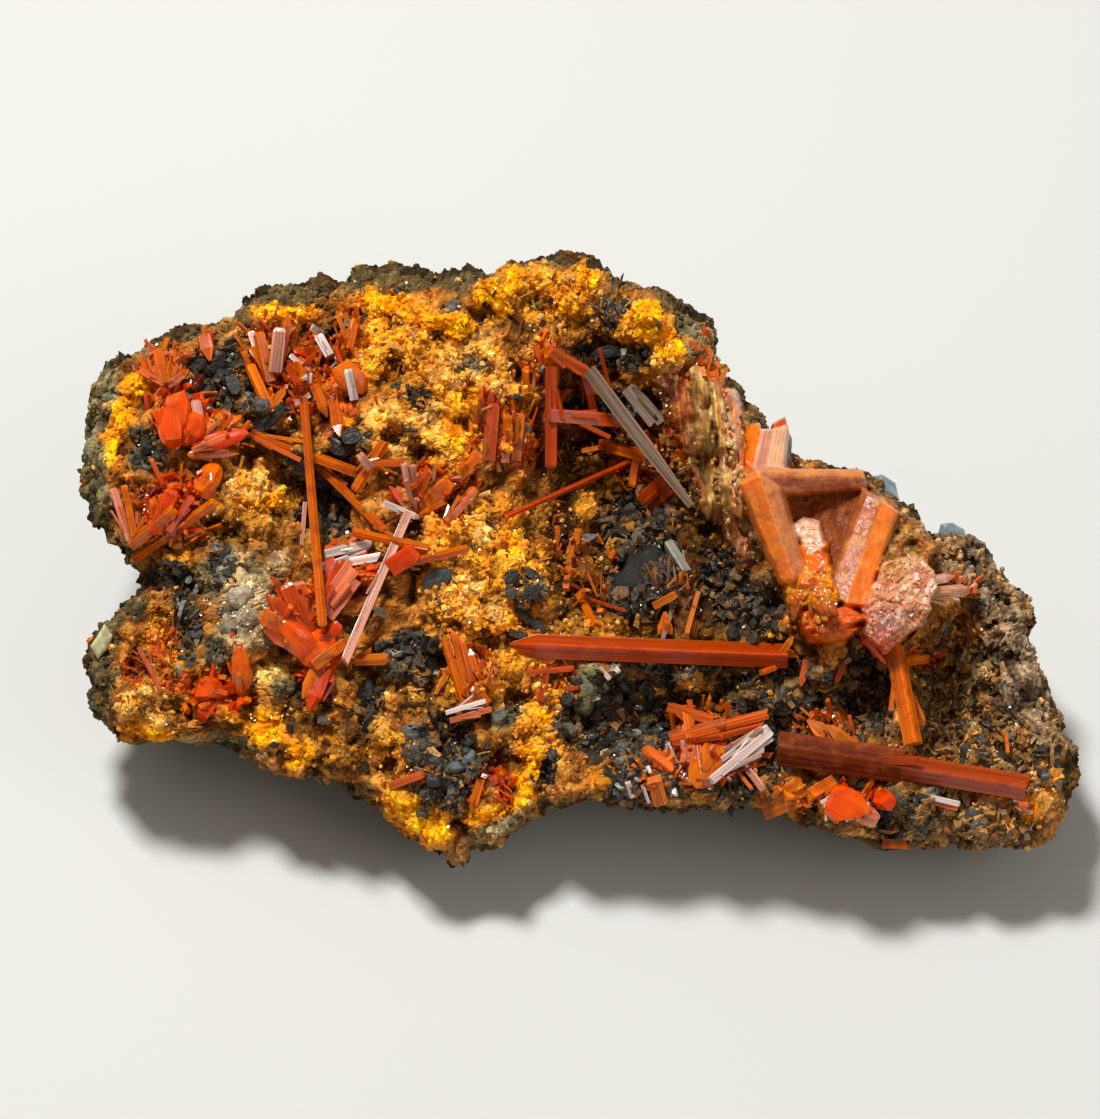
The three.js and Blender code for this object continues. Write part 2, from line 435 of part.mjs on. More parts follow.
// The depth of the hidden back under a point: steep walls, a lumpy back and a flat base.
function backDepth([a, d], share) {
  const up = middle[1] - d;
  const lumps = 1.6 * Math.sin(a / 5.3 + 1) * Math.cos(d / 4.1 + a / 11) + 1.1 * Math.sin(a / 2.6 + d / 3.7);
  const steep = faceSlope * up - 11 - 58 * (1 - share ** 3) + lumps;
  const bow = 0.006 * (a - middle[0]) ** 2;
  const wall = (up * Math.sin(viewTilt) - backLimit + bow + lumps) / Math.cos(viewTilt);
  return Math.min(Math.max(steep, wall), faceSlope * up - 9.5);
}

// A mesh of geometry as a solid that can be cut and joined.
function solidOf(geometry) {
  const bare = geometry.clone();
  bare.deleteAttribute("normal");
  bare.deleteAttribute("uv");
  const merged = mergeVertices(bare, 1e-4);
  return new wasm.Manifold(
    new wasm.Mesh({
      numProp: 3,
      vertProperties: merged.attributes.position.array,
      triVerts: new Uint32Array(merged.index.array),
    }),
  );
}

function geometryOf(solid) {
  const mesh = solid.getMesh();
  const geometry = new THREE.BufferGeometry();
  geometry.setAttribute("position", new THREE.BufferAttribute(mesh.vertProperties, 3));
  geometry.setIndex(new THREE.BufferAttribute(mesh.triVerts, 1));
  geometry.computeVertexNormals();
  return geometry;
}

// The largest body of a solid that a cut has split.
function largest(solid) {
  const bodies = solid.decompose();
  return bodies.reduce((a, b) => (b.volume() > a.volume() ? b : a));
}

// The matrix: a box whose front and back are drawn onto the outline, grown outward by swell.
function matrixSolid(swell) {
  const box = new THREE.BoxGeometry(2, 2, 2, grid[0], grid[1], 1);
  const positions = box.attributes.position;
  for (let i = 0; i < positions.count; i++) {
    const u = positions.getX(i);
    const v = positions.getY(i);
    const front = positions.getZ(i) > 0;
    const x = u * Math.sqrt(1 - (v * v) / 2);
    const y = v * Math.sqrt(1 - (u * u) / 2);
    const share = Math.hypot(x, y);
    const edge = share < 1e-6 ? 1 : outlineShare(x / share, y / share);
    const grown = edge * (front ? 1 : 0.95) + (share ** 12 * swell) / 40;
    const point = [hub[0] + x * grown * reach[0], hub[1] - y * grown * reach[1]];
    const onFace = [hub[0] + x * edge * reach[0], hub[1] - y * edge * reach[1]];
    const depth = front ? faceDepth(onFace) + swell : backDepth(point, share);
    positions.setXYZ(i, ...place(point, depth).toArray());
  }
  const base = new THREE.BoxGeometry(200, 200, 100);
  base.translate(0, 0, baseLevel + 50);
  return solidOf(box).intersect(solidOf(base));
}

// One prism: a square with cut corners, turned about its axis, drawn along it and shaped at its far end.
function prismSolid([from, to, lifts, width, thick, turn, end]) {
  const start = place(from, faceDepth(from) + lifts[0] + 0.3 * thick);
  const finish = place(to, faceDepth(to) + lifts[1] + 0.3 * thick);
  const axis = finish.clone().sub(start);
  const length = axis.length();
  axis.normalize();
  const side = new THREE.Vector3().crossVectors(outward, axis).normalize();
  const front = new THREE.Vector3().crossVectors(axis, side).normalize();
  const cut = width > 6.1 ? 0.7 : 1;
  const corners = [];
  for (let i = 0; i < 4; i++) {
    for (const offset of cut < 1 ? [-1, 1] : [0]) {
      const angle = THREE.MathUtils.degToRad(turn + 45 + 90 * i + offset * 45 * (1 - cut));
      corners.push(new THREE.Vector2(Math.cos(angle), Math.sin(angle)));
    }
  }
  const spanX = Math.max(...corners.map((c) => c.x));
  const spanY = Math.max(...corners.map((c) => c.y));
  corners.forEach((c) => c.set((c.x / spanX) * (width / 2), (c.y / spanY) * (thick / 2)));
  const plain = end === "flat" || end === "slant" || (end === "blunt" && width < 1.35);
  const rings = plain ? 1 : 2;
  const body = new THREE.ExtrudeGeometry(new THREE.Shape(corners), {
    depth: length,
    steps: rings,
    bevelEnabled: false,
  });
  const tip = plain ? [0, 1] : { blunt: [0.25, 0.72], point: [1.0, 0.22], long: [5.0, 0.5] }[end];
  const positions = body.attributes.position;
  for (let i = 0; i < positions.count; i++) {
    const x = positions.getX(i);
    const y = positions.getY(i);
    const z = positions.getZ(i);
    if (z > 0.9 * length) {
      const shear = end === "slant" ? 0.6 * x : 0;
      positions.setXYZ(i, x * tip[1], y * tip[1], length + shear);
    } else if (z > 0.1 * length) {
      positions.setZ(i, length - Math.min(tip[0] * width, 0.8 * length));
    }
  }
  body.applyMatrix4(new THREE.Matrix4().makeBasis(side, front, axis).setPosition(start));
  return solidOf(body);
}

// One chip: its corners drawn through its thickness.
function chipSolid([corners, lift, thick]) {
  const centre = [0, 1].map((k) => corners.reduce((sum, c) => sum + c[k], 0) / corners.length);
  const shape = new THREE.Shape(corners.map(([a, d]) => new THREE.Vector2(a - middle[0], middle[1] - d)));
  const bevel = 0.25;
  const body = new THREE.ExtrudeGeometry(shape, {
    depth: thick - 2 * bevel,
    bevelThickness: bevel,
    bevelSize: bevel,
    bevelOffset: -bevel,
    bevelSegments: 1,
  });
  const frame = new THREE.Matrix4().makeBasis(across, upward, outward);
  frame.setPosition(outward.clone().multiplyScalar(faceDepth(centre) + lift + bevel));
  body.applyMatrix4(frame);
  return solidOf(body);
}

function material(tint) {
  const [colour, rough, opacity] = tints[tint];
  return new THREE.MeshStandardMaterial({
    color: colour,
    roughness: rough,
    metalness: 0,
    opacity,
    transparent: opacity < 1,
  });
}

const group = new THREE.Group();
function addPiece(name, solid, finish) {
  const mesh = new THREE.Mesh(geometryOf(solid), finish);
  mesh.name = name;
  group.add(mesh);
}

// Build every piece. Crystals and chips are cut back from the rock by the gap.
const rock = matrixSolid(0);
const rockAndGap = matrixSolid(gap);
addPiece("matrix", rock, new THREE.MeshStandardMaterial({ color: 0x6b4a26, roughness: 0.9, metalness: 0 }));
for (const [name, rows] of Object.entries(crystals)) {
  const joined = rows.map(prismSolid).reduce((a, b) => a.add(b));
  addPiece(name, largest(joined.subtract(rockAndGap)), material(rows[0][7]));
}
for (const [name, row] of Object.entries(chips)) {
  addPiece(name, largest(chipSolid(row).subtract(rockAndGap)), material(row[3]));
}

// Stand the part on the floor, centred over the origin.
const box = new THREE.Box3().setFromObject(group);
group.position.set(-(box.min.x + box.max.x) / 2, -(box.min.y + box.max.y) / 2, -box.min.z);

export default group;
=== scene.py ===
# A crocoite specimen: striated red-orange prisms on a granular, iron-stained gossan.
import math

import bmesh
import bpy
import numpy as np
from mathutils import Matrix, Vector


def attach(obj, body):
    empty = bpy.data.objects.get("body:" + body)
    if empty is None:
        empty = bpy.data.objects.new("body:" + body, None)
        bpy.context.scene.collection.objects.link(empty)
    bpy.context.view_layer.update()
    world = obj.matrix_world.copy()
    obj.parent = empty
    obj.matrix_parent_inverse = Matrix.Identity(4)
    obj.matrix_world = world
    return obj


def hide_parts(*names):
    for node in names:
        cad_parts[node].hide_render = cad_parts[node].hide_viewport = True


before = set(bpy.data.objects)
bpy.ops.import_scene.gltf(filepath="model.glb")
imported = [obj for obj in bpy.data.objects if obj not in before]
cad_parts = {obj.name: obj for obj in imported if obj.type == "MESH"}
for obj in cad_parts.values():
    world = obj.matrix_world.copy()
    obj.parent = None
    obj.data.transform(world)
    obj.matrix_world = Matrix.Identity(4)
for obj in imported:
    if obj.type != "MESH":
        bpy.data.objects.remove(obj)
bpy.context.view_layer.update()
mm = 0.001

# The crystal face is described in the plane that it is looked at in: points are [across, down] in
# millimetres in that plane, and out is the distance from the plane towards the viewer.
viewed = {
    "tilt": math.radians(52),          # how far the viewer looks down
    "middle": (57.8, 55.4),            # the point of the plane that the shift below places
    "shift": (0.019, -3.279, 22.0),    # where that point lies in the frame, mm
    "size": (110.0, 111.9),            # the whole view, mm
}
acrossDir = np.array([1.0, 0.0, 0.0])
upDir = np.array([0.0, math.sin(viewed["tilt"]), math.cos(viewed["tilt"])])
outDir = np.array([0.0, -math.cos(viewed["tilt"]), math.sin(viewed["tilt"])])
keyPlace = np.array([-0.17, 0.15, 0.68])    # of the main light, metres


# Vectors drawn to a length of one.
def unit(v):
    return v / np.linalg.norm(v, axis=-1, keepdims=True)


# Points of the viewed plane moved out by a depth, in the frame, still in millimetres.
def place(a, d, out):
    a, d, out = np.broadcast_arrays(*(np.asarray(v, float) for v in (a, d, out)))
    x = (a - viewed["middle"][0])[..., None] * acrossDir
    y = (viewed["middle"][1] - d)[..., None] * upDir
    return x + y + out[..., None] * outDir + np.array(viewed["shift"])


# A hex colour as linear red, green and blue.
def linear(hexValue):
    c = np.array([(hexValue >> s & 255) / 255 for s in (16, 8, 0)])
    return np.where(c <= 0.04045, c / 12.92, ((c + 0.055) / 1.055) ** 2.4)


# From one colour to another by a share at each place. Each is a hex value or an array of colours.
def blend(first, second, share):
    first, second = (linear(c) if isinstance(c, int) else c for c in (first, second))
    share = np.asarray(share, float)[..., None]
    return first * (1 - share) + second * share


def smooth(low, high, x):
    t = np.clip((x - low) / (high - low), 0, 1)
    return t * t * (3 - 2 * t)


# Whole-number coordinates scrambled to whole numbers without a pattern.
def scramble(cell, seed):
    c = cell.astype(np.int64).astype(np.uint32)
    h = c[..., 0] * np.uint32(374761393) + c[..., 1] * np.uint32(668265263)
    h = h + c[..., 2] * np.uint32(2246822519) + np.uint32(seed * 40503 + 17)
    h = (h ^ (h >> np.uint32(13))) * np.uint32(1274126177)
    return h ^ (h >> np.uint32(16))


gradients = np.array([
    (1, 1, 0), (-1, 1, 0), (1, -1, 0), (-1, -1, 0), (1, 0, 1), (-1, 0, 1),
    (1, 0, -1), (-1, 0, -1), (0, 1, 1), (0, -1, 1), (0, 1, -1), (0, -1, -1),
], float)


# Gradient noise, about -1 to 1: a slope at each lattice corner, blended by a smooth step.
def noise(points, size, seed):
    q = points / size
    base = np.floor(q)
    f = q - base
    w = f * f * f * (f * (f * 6 - 15) + 10)
    total = np.zeros(len(q))
    for corner in np.ndindex(2, 2, 2):
        slope = gradients[scramble(base + corner, seed) % 12]
        share = np.prod(np.where(corner, w, 1 - w), axis=1)
        total += share * ((f - corner) * slope).sum(axis=1)
    return total


# Octaves of noise, each half the size and a share of the height of the one before.
def fractal(points, size, seed, octaves=4, keep=0.5):
    total = np.zeros(len(points))
    for k in range(octaves):
        total += keep ** k * noise(points, size / 2 ** k, seed + 7 * k)
    return total


# The same over a grid of the viewed plane.
def fractalAt(a, d, size, seed, octaves=4):
    return fractal(np.stack([a, d, 0 * a], axis=-1).reshape(-1, 3), size, seed, octaves).reshape(a.shape)


# The nearest of the points scattered one to a cell: distance, offset from it and three random numbers.
def cells(points, size, seed):
    q = points / size
    base = np.floor(q)
    best = np.full(len(q), 9.0)
    offset, luck = np.zeros((2, len(q), 3))
    for step in np.ndindex(3, 3, 3):
        cell = base + step - 1
        h = scramble(cell, seed)
        r = np.stack([(h >> np.uint32(s) & np.uint32(1023)) / 1023 for s in (0, 10, 20)], axis=1)
        away = q - cell - r
        far = np.linalg.norm(away, axis=1)
        nearer = far < best
        best[nearer] = far[nearer]
        offset[nearer] = away[nearer]
        luck[nearer] = r[nearer][:, [2, 0, 1]]
    return best, offset, luck


# Quads between the rows of a grid of point numbers. A ring's last column meets its first.
def gridQuads(index, ring=False, flip=False):
    if ring:
        index = np.concatenate([index, index[:, :1]], axis=1)
    corners = [index[:-1, :-1], index[1:, :-1], index[1:, 1:], index[:-1, 1:]]
    order = (0, 3, 2, 1) if flip else (0, 1, 2, 3)
    return np.stack([corners[k] for k in order], axis=-1).reshape(-1, 4)


# Triangles from a ring of point numbers to one point.
def fan(ring, top):
    return np.stack([ring, np.roll(ring, -1), np.full(len(ring), top)], axis=1)


# The rock's shape, as in the solid: its outline as it is seen, clockwise from the left notch, the mounds
# and hollows of its face, and the ridges.
rock = {
    "hub": (56.0, 56.0), "reach": (50.0, 30.0), "slope": -0.28, "base": -22.0, "back": 32.0,
    "rim": (5.5, 0.035),    # how far the rim falls, and over what share of the way in
    "waves": [(8.7, 0.5, 1.1), (6.1, 1.7, 4.0), (4.6, 2.6, 0.4), (3.7, 1.1, 2.6)],  # length, turn, phase
    "outline": [
        (13.7, 56.6), (11.9, 55.2), (10.8, 53.7), (8.9, 52.3), (8.1, 49.5), (7.4, 46.3), (7.9, 43.3),
        (7.9, 39.7), (8.8, 38), (10.8, 35.3), (12.9, 35.4), (13.7, 34.2), (15.6, 32.6), (18, 32.2),
        (20.5, 32.2), (22.4, 31.7), (23.7, 29.7), (25.2, 28.3), (29.6, 27.8), (32, 27.3), (34.6, 27.6),
        (35.3, 26), (38.6, 25.7), (40.7, 26.6), (43.8, 27.1), (46.9, 25.9), (49.4, 26.8), (50.6, 25.8),
        (54.6, 25.4), (56.2, 24.8), (58.6, 25), (60, 25.4), (61.5, 27.5), (66.5, 28.6), (70.3, 30.9),
        (71.5, 31.6), (71.4, 36.1), (72.7, 37.8), (74.3, 38.6), (76.4, 42.1), (78.6, 44.7), (81.2, 46.2),
        (84.1, 46.9), (86.9, 47.2), (90.6, 50.4), (92.3, 51.8), (93.6, 53.5), (96.4, 53.7), (98.4, 54.6),
        (99.4, 55.3), (101.6, 58.3), (102.8, 59.5), (104, 61.9), (103.9, 63.8), (104.2, 66.2),
        (105.7, 69.8), (105.9, 72.8), (108, 74.8), (108, 77.8), (106.4, 81.5), (104.8, 83.7), (102.1, 85),
        (99.3, 84.5), (96.8, 84.9), (95.2, 84), (93, 84.6), (88.7, 84.8), (86.6, 83.8), (83.5, 83.6),
        (82.6, 82.6), (80.9, 82.6), (79, 81.4), (74.1, 80.5), (68.9, 81), (62.1, 80.5), (59.5, 79.8),
        (56.4, 80.4), (54.3, 80.8), (52.3, 82), (49.5, 84.7), (46.8, 84.7), (46.3, 85.5), (45.4, 86.1),
        (43.6, 85.2), (39.9, 83), (37.8, 80.9), (34, 78.2), (29.8, 77.9), (26.7, 77.1), (23.2, 74.3),
        (18.9, 74), (12.5, 74.5), (11.2, 74.1), (10.8, 72.9), (9.4, 71.9), (8.9, 70), (7.9, 66.1),
        (8.6, 63.8), (11.7, 61.4), (13.9, 58.3),
    ],
    # across, down, half widths, turn in degrees, rise
    "landforms": [
        (43.5, 37.5, 8.5, 9.5, 0, 4), (60.5, 47.5, 7.5, 10.5, 10, -9), (56.5, 41.5, 4, 5, 0, -2.5),
        (64, 71.5, 8, 4, 0, -4.5), (32, 50, 4, 3.6, 20, -4.5), (27.5, 47.5, 4, 2, 30, -2),
        (15.5, 44, 8, 9, 0, 2), (26.4, 41.4, 1.8, 1.4, 30, 1.6), (34.8, 44.1, 1.9, 1.5, 0, 1.2),
        (21.5, 38.5, 2.4, 3.4, 0, -1.4), (24.5, 61, 5, 4.5, 40, 3), (18, 60.5, 2.8, 3.5, 0, -2.5),
        (14.5, 68.5, 6, 5.5, 0, 1.5), (44, 76.5, 4.2, 4.8, 0, 2.8), (45.6, 74.1, 1.8, 1.7, 0, -3.6),
        (49.6, 76.2, 2, 2, 0, -1.8), (47, 57.5, 6.5, 5.5, 0, 1.8), (58.5, 68.9, 2, 2.6, 0, 3),
        (95, 67.5, 5, 7.5, -10, -6), (86.3, 69, 2.8, 4.6, 10, -4), (79.2, 59.5, 1.6, 1.6, 0, -1.6),
        (103.5, 79.5, 4.5, 4.5, 0, 2), (92, 80.5, 8, 3.5, 0, 1.5), (27.5, 76, 4, 2.5, 0, 1),
    ],
    "ridges": [  # points along the crest, half width, rise
        ([(66, 32), (70, 38), (73.5, 47), (78.5, 56), (84, 62), (91, 61.5)], 3.2, 6.5),
        ([(57, 78.3), (65, 78.5), (73, 79), (81, 80.5)], 2.8, 2.4),
        ([(24.5, 30.7), (30, 29.8), (36, 28.6), (44, 29.2), (50, 28.2), (58, 27.6), (66, 30.5)], 2.4, 1.6),
    ],
    # small pits and knobs that only show close to: across, down, half widths, turn, rise
    "details": [
        (54.6, 76.8, 1, 1.6, 10, -2.6), (49.1, 75.4, 1.5, 1.6, 0, -1.4), (41.6, 39.6, 1.4, 1.3, 0, -0.9),
        (45.9, 43.6, 1.4, 1.6, 0, 0.8), (61.2, 34.4, 4.2, 1, 8, -1.4), (33.2, 34.6, 2.2, 2.2, 0, -1.2),
        (16.4, 57.6, 2.2, 1.1, 0, -1.4), (18.6, 56, 1.5, 0.9, 0, 0.9), (22.4, 56.6, 0.8, 2.2, -30, 0.9),
        (19, 62.8, 0.9, 3.6, 0, 1.2), (44.6, 45, 0.9, 0.9, 0, 0.8), (64.4, 58.4, 3, 3.4, 20, 0.9),
        (75.4, 61.6, 3.6, 2, 5, 1.4), (72.2, 57.4, 1.8, 2.2, 0, -1), (60, 69.6, 0.7, 0.7, 0, 0.5),
        (65.8, 70.8, 0.7, 1, 0, 0.7), (63.6, 67.2, 0.7, 0.6, 0, 0.7), (78.2, 76.2, 1, 1.2, 0, 1.2),
        (70.6, 75.6, 0.8, 1.4, 20, -0.8), (90.2, 57, 1.2, 1.2, 0, 0.5), (97, 60.5, 1.2, 2.4, -30, -0.6),
        (101.4, 75.6, 1.6, 1.9, 0, -1.6), (40.8, 75.4, 1.6, 1.6, 0, 1), (47, 79.4, 1.5, 1.9, 20, 0.9),
        (50.4, 73.2, 1.3, 1, -40, 0.9), (27.4, 67.6, 1.6, 1.6, 30, 0.9), (55, 71.6, 1.5, 2.4, 0, 1),
        (31, 74.4, 3, 1.7, 35, 0.9), (59.4, 51.4, 1.6, 1.9, 0, 1), (68.6, 66, 1.6, 0.8, 0, -1.2),
    ],
}


# How far the outline lies from the hub along each direction, in shares of the reach.
def outlineShare(x, y):
    points = (np.array(rock["outline"]) - rock["hub"]) / rock["reach"] * (1, -1)
    farthest = np.zeros(np.shape(x))
    for (ax, ay), (bx, by) in zip(points, np.roll(points, -1, axis=0)):
        start = ax * y - ay * x
        stop = bx * y - by * x
        t = start / np.where(start == stop, 1, start - stop)
        along = (ax + (bx - ax) * t) * x + (ay + (by - ay) * t) * y
        crossed = (start * stop <= 0) & (start != stop)
        farthest = np.where(crossed, np.maximum(farthest, along), farthest)
    return farthest


# How far out points lie: 0 at the hub and 1 on the outline.
def outward(a, d):
    x = (a - rock["hub"][0]) / rock["reach"][0]
    y = (rock["hub"][1] - d) / rock["reach"][1]
    r = np.maximum(np.hypot(x, y), 1e-6)
    return r / outlineShare(x / r, y / r)


# Distance from points to a chain of points.
def distanceTo(a, d, chain):
    nearest = np.full(np.shape(a), 999.0)
    for (pa, pd), (qa, qd) in zip(chain, chain[1:]):
        length = (qa - pa) ** 2 + (qd - pd) ** 2
        t = np.clip(((a - pa) * (qa - pa) + (d - pd) * (qd - pd)) / length, 0, 1)
        nearest = np.minimum(nearest, np.hypot(a - pa - t * (qa - pa), d - pd - t * (qd - pd)))
    return nearest


# Points in half widths of an ellipse that is turned by some degrees.
def inEllipse(a, d, ca, cd, ra, rd, turn):
    sine, cosine = math.sin(math.radians(turn)), math.cos(math.radians(turn))
    return ((a - ca) * cosine + (d - cd) * sine) / ra, ((d - cd) * cosine - (a - ca) * sine) / rd


# A round mound or hollow: rise times e to the minus (distance in half widths) to the power 2.8.
def landform(a, d, row):
    x, y = inEllipse(a, d, *row[:5])
    return row[5] * np.exp(-((x * x + y * y) ** 1.4))


# The depth of the face: a slope, the landforms and ridges, crossed waves, and a rim rounded off.
def faceDepth(a, d):
    a, d = np.asarray(a, float), np.asarray(d, float)
    depth = rock["slope"] * (viewed["middle"][1] - d)
    for row in rock["landforms"]:
        depth = depth + landform(a, d, row)
    for chain, halfWidth, rise in rock["ridges"]:
        depth = depth + rise * np.exp(-((distanceTo(a, d, chain) / halfWidth) ** 2))
    for length, turn, phase in rock["waves"]:
        along = (a * math.cos(turn) + d * math.sin(turn)) / length
        other = (d * math.cos(turn) - a * math.sin(turn)) / (1.37 * length)
        wave = np.sin(2 * np.pi * along + phase) * np.cos(2 * np.pi * other + 2 * phase)
        depth = depth + 0.11 * length * wave
    drop, width = rock["rim"]
    return depth - drop * np.exp(-np.maximum(0, 1 - outward(a, d)) / width)


# The depth of the hidden back: steep walls, a bowed and lumpy back, and the flat base.
def backDepth(a, d, share):
    up = viewed["middle"][1] - d
    lumps = 1.6 * np.sin(a / 5.3 + 1) * np.cos(d / 4.1 + a / 11) + 1.1 * np.sin(a / 2.6 + d / 3.7)
    steep = rock["slope"] * up - 11 - 58 * (1 - share ** 3) + lumps
    sine, cosine = math.sin(viewed["tilt"]), math.cos(viewed["tilt"])
    bow = 0.006 * (a - viewed["middle"][0]) ** 2
    wall = (up * sine - rock["back"] + bow + lumps) / cosine
    depth = np.minimum(np.maximum(steep, wall), rock["slope"] * up - 9.5)
    return np.maximum(depth, (rock["base"] - up * cosine) / sine)


# A node with its settings and inputs. An input is a value, a socket, or a node for its first output.
def addNode(tree, kind, settings=None, inputs=None):
    item = tree.nodes.new("ShaderNode" + kind)
    for key, value in (settings or {}).items():
        setattr(item, key, value)
    for key, value in (inputs or {}).items():
        value = value.outputs[0] if isinstance(value, bpy.types.Node) else value
        if isinstance(value, bpy.types.NodeSocket):
            tree.links.new(value, item.inputs[key])
        else:
            item.inputs[key].default_value = value
    return item


def newMaterial(name, uniform):
    material = bpy.data.materials.new(name)
    material.use_nodes = True
    tree = material.node_tree
    tree.nodes.clear()
    shader = addNode(tree, "BsdfPrincipled", inputs=uniform)
    addNode(tree, "OutputMaterial", inputs={"Surface": shader})
    return material, tree, shader


# A mesh object from points in millimetres, faces as whole-number arrays, a tint for each point, and
# where they are given a shine for each point, a uv for each corner and a material for each face.
def addPiece(name, made, materials, replaced=(), soft=False):
    points, faces = made["points"], made["faces"]
    mesh = bpy.data.meshes.new(name)
    mesh.from_pydata(points * mm, [], [f for part in faces for f in part.tolist()])
    for material in materials:
        mesh.materials.append(material)
    if "material" in made:
        mesh.polygons.foreach_set("material_index", made["material"].astype(np.int32))
    rgba = np.concatenate([np.clip(made["tint"], 0, 1), np.ones((len(points), 1))], axis=1)
    layer = mesh.attributes.new("tint", "FLOAT_COLOR", "POINT")
    layer.data.foreach_set("color", rgba.astype(np.float32).ravel())
    if "shine" in made:
        layer = mesh.attributes.new("shine", "FLOAT", "POINT")
        layer.data.foreach_set("value", made["shine"].astype(np.float32))
    if "uv" in made:
        layer = mesh.uv_layers.new(name="stria")
        layer.data.foreach_set("uv", made["uv"].astype(np.float32).ravel())
    mesh.polygons.foreach_set("use_smooth", np.full(len(mesh.polygons), soft))
    mesh.update()
    piece = bpy.data.objects.new(name, mesh)
    bpy.context.scene.collection.objects.link(piece)
    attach(piece, "root")
    if replaced:
        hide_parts(*replaced)
    return piece


# Materials

# Gossan: a porous mass of iron oxides, broken with a hammer. Earthy and quite dull, ochre where it is
# powdery and blue-black with a slight shine where it is crusted.
def gossanMaterial():
    look = {
        "grit": 0.4, "speck": 0.16, "blotch": 2.6, "dullness": 0.88, "shineRoughness": 0.34,
        "warm": 0xF0CFA0,
    }
    material, tree, shader = newMaterial("gossan", {"IOR": 1.6})
    coords = addNode(tree, "TexCoord").outputs["Object"]
    colour = addNode(tree, "Attribute", {"attribute_name": "tint"})
    shine = addNode(tree, "Attribute", {"attribute_name": "shine"}).outputs["Fac"]
    grains = addNode(tree, "TexVoronoi", inputs={"Vector": coords, "Scale": 1 / (look["grit"] * mm)})
    specks = addNode(tree, "TexNoise", inputs={
        "Vector": coords, "Scale": 1 / (look["speck"] * mm), "Detail": 3.0, "Roughness": 0.6})
    blotch = addNode(tree, "TexNoise", inputs={
        "Vector": coords, "Scale": 1 / (look["blotch"] * mm), "Detail": 4.0})
    luck = addNode(tree, "SeparateColor", inputs={"Color": grains.outputs["Color"]})
    bright = addNode(tree, "MapRange", inputs={"Value": luck, "To Min": 0.8, "To Max": 1.6})
    cut = addNode(tree, "MapRange", inputs={
        "Value": specks, "From Min": 0.35, "From Max": 0.62, "To Min": 0.66, "To Max": 1.2})
    warm = addNode(tree, "MapRange", inputs={"Value": blotch, "From Min": 0.3, "From Max": 0.7})
    for share, factor in ((1.0, bright), (1.0, cut), (warm, (*linear(look["warm"]), 1))):
        colour = addNode(tree, "MixRGB", {"blend_type": "MULTIPLY"}, {
            "Fac": share, "Color1": colour, "Color2": factor})
    rough = addNode(tree, "MapRange", inputs={
        "Value": shine, "To Min": look["dullness"], "To Max": look["shineRoughness"]})
    gleam = addNode(tree, "MapRange", inputs={"Value": shine, "To Min": 0.1, "To Max": 0.5})
    high = addNode(tree, "Math", {"operation": "SUBTRACT"}, {0: specks, 1: grains})
    bump = addNode(tree, "Bump", inputs={"Strength": 0.7, "Distance": 0.16 * mm, "Height": high})
    for key, item in (
            ("Base Color", colour), ("Roughness", rough), ("Specular IOR Level", gleam), ("Normal", bump)):
        tree.links.new(item.outputs[0], shader.inputs[key])
    return material


# Crocoite: lead chromate, grown as long prisms in a hollow. Adamantine and translucent, so it shines
# like varnish, lets light through at thin edges, and is finely grooved along its length.
def crocoiteMaterial(name, look):
    look = {"ior": 2.3, "clear": 0.0, "coat": 0.0, "groove": 0.5, **look}
    material, tree, shader = newMaterial(name, {
        "IOR": look["ior"], "Specular IOR Level": look["gloss"], "Transmission Weight": look["clear"],
        "Subsurface Weight": look["glow"], "Subsurface Radius": (1.0, 0.28, 0.07),
        "Subsurface Scale": 1.6 * mm, "Coat Weight": look["coat"], "Coat Roughness": 0.08,
    })
    coords = addNode(tree, "TexCoord").outputs["Object"]
    tint = addNode(tree, "Attribute", {"attribute_name": "tint"})
    uv = addNode(tree, "UVMap", {"uv_map": "stria"})
    run = addNode(tree, "Mapping", {"vector_type": "POINT"}, {"Vector": uv, "Scale": (4.5, 0.05, 1.0)})
    streaks = addNode(tree, "TexNoise", {"noise_dimensions": "2D"}, {
        "Vector": run, "Scale": 1.0, "Detail": 3.0, "Roughness": 0.65})
    veil = addNode(tree, "TexNoise", inputs={
        "Vector": coords, "Scale": 1 / (1.5 * mm), "Detail": 5.0, "Roughness": 0.6})
    pale = addNode(tree, "MapRange", inputs={"Value": streaks, "From Min": 0.34, "From Max": 0.66})
    stripe = addNode(tree, "MixRGB", inputs={
        "Fac": pale, "Color1": (*linear(look["deepStreak"]), 1), "Color2": (*look["paleStreak"], 1)})
    streaked = addNode(tree, "MixRGB", {"blend_type": "MULTIPLY"}, {
        "Fac": 1.0, "Color1": tint, "Color2": stripe})
    dusty = addNode(tree, "MapRange", inputs={
        "Value": veil, "From Min": look["dustFrom"], "From Max": look["dustFrom"] + 0.16,
        "To Max": look["dust"]})
    dusted = addNode(tree, "MixRGB", inputs={
        "Fac": dusty, "Color1": streaked, "Color2": (*linear(look["dustColour"]), 1)})
    rough = addNode(tree, "MapRange", inputs={
        "Value": veil, "From Min": 0.35, "From Max": 0.7,
        "To Min": look["roughness"], "To Max": look["roughness"] + look["roughSpread"]})
    high = addNode(tree, "Math", {"operation": "MULTIPLY_ADD"}, {0: veil, 1: look["etch"], 2: streaks})
    bump = addNode(tree, "Bump", inputs={"Strength": look["groove"], "Distance": 0.05 * mm, "Height": high})
    for key, item in (("Base Color", dusted), ("Roughness", rough), ("Normal", bump)):
        tree.links.new(item.outputs[0], shader.inputs[key])
    return material


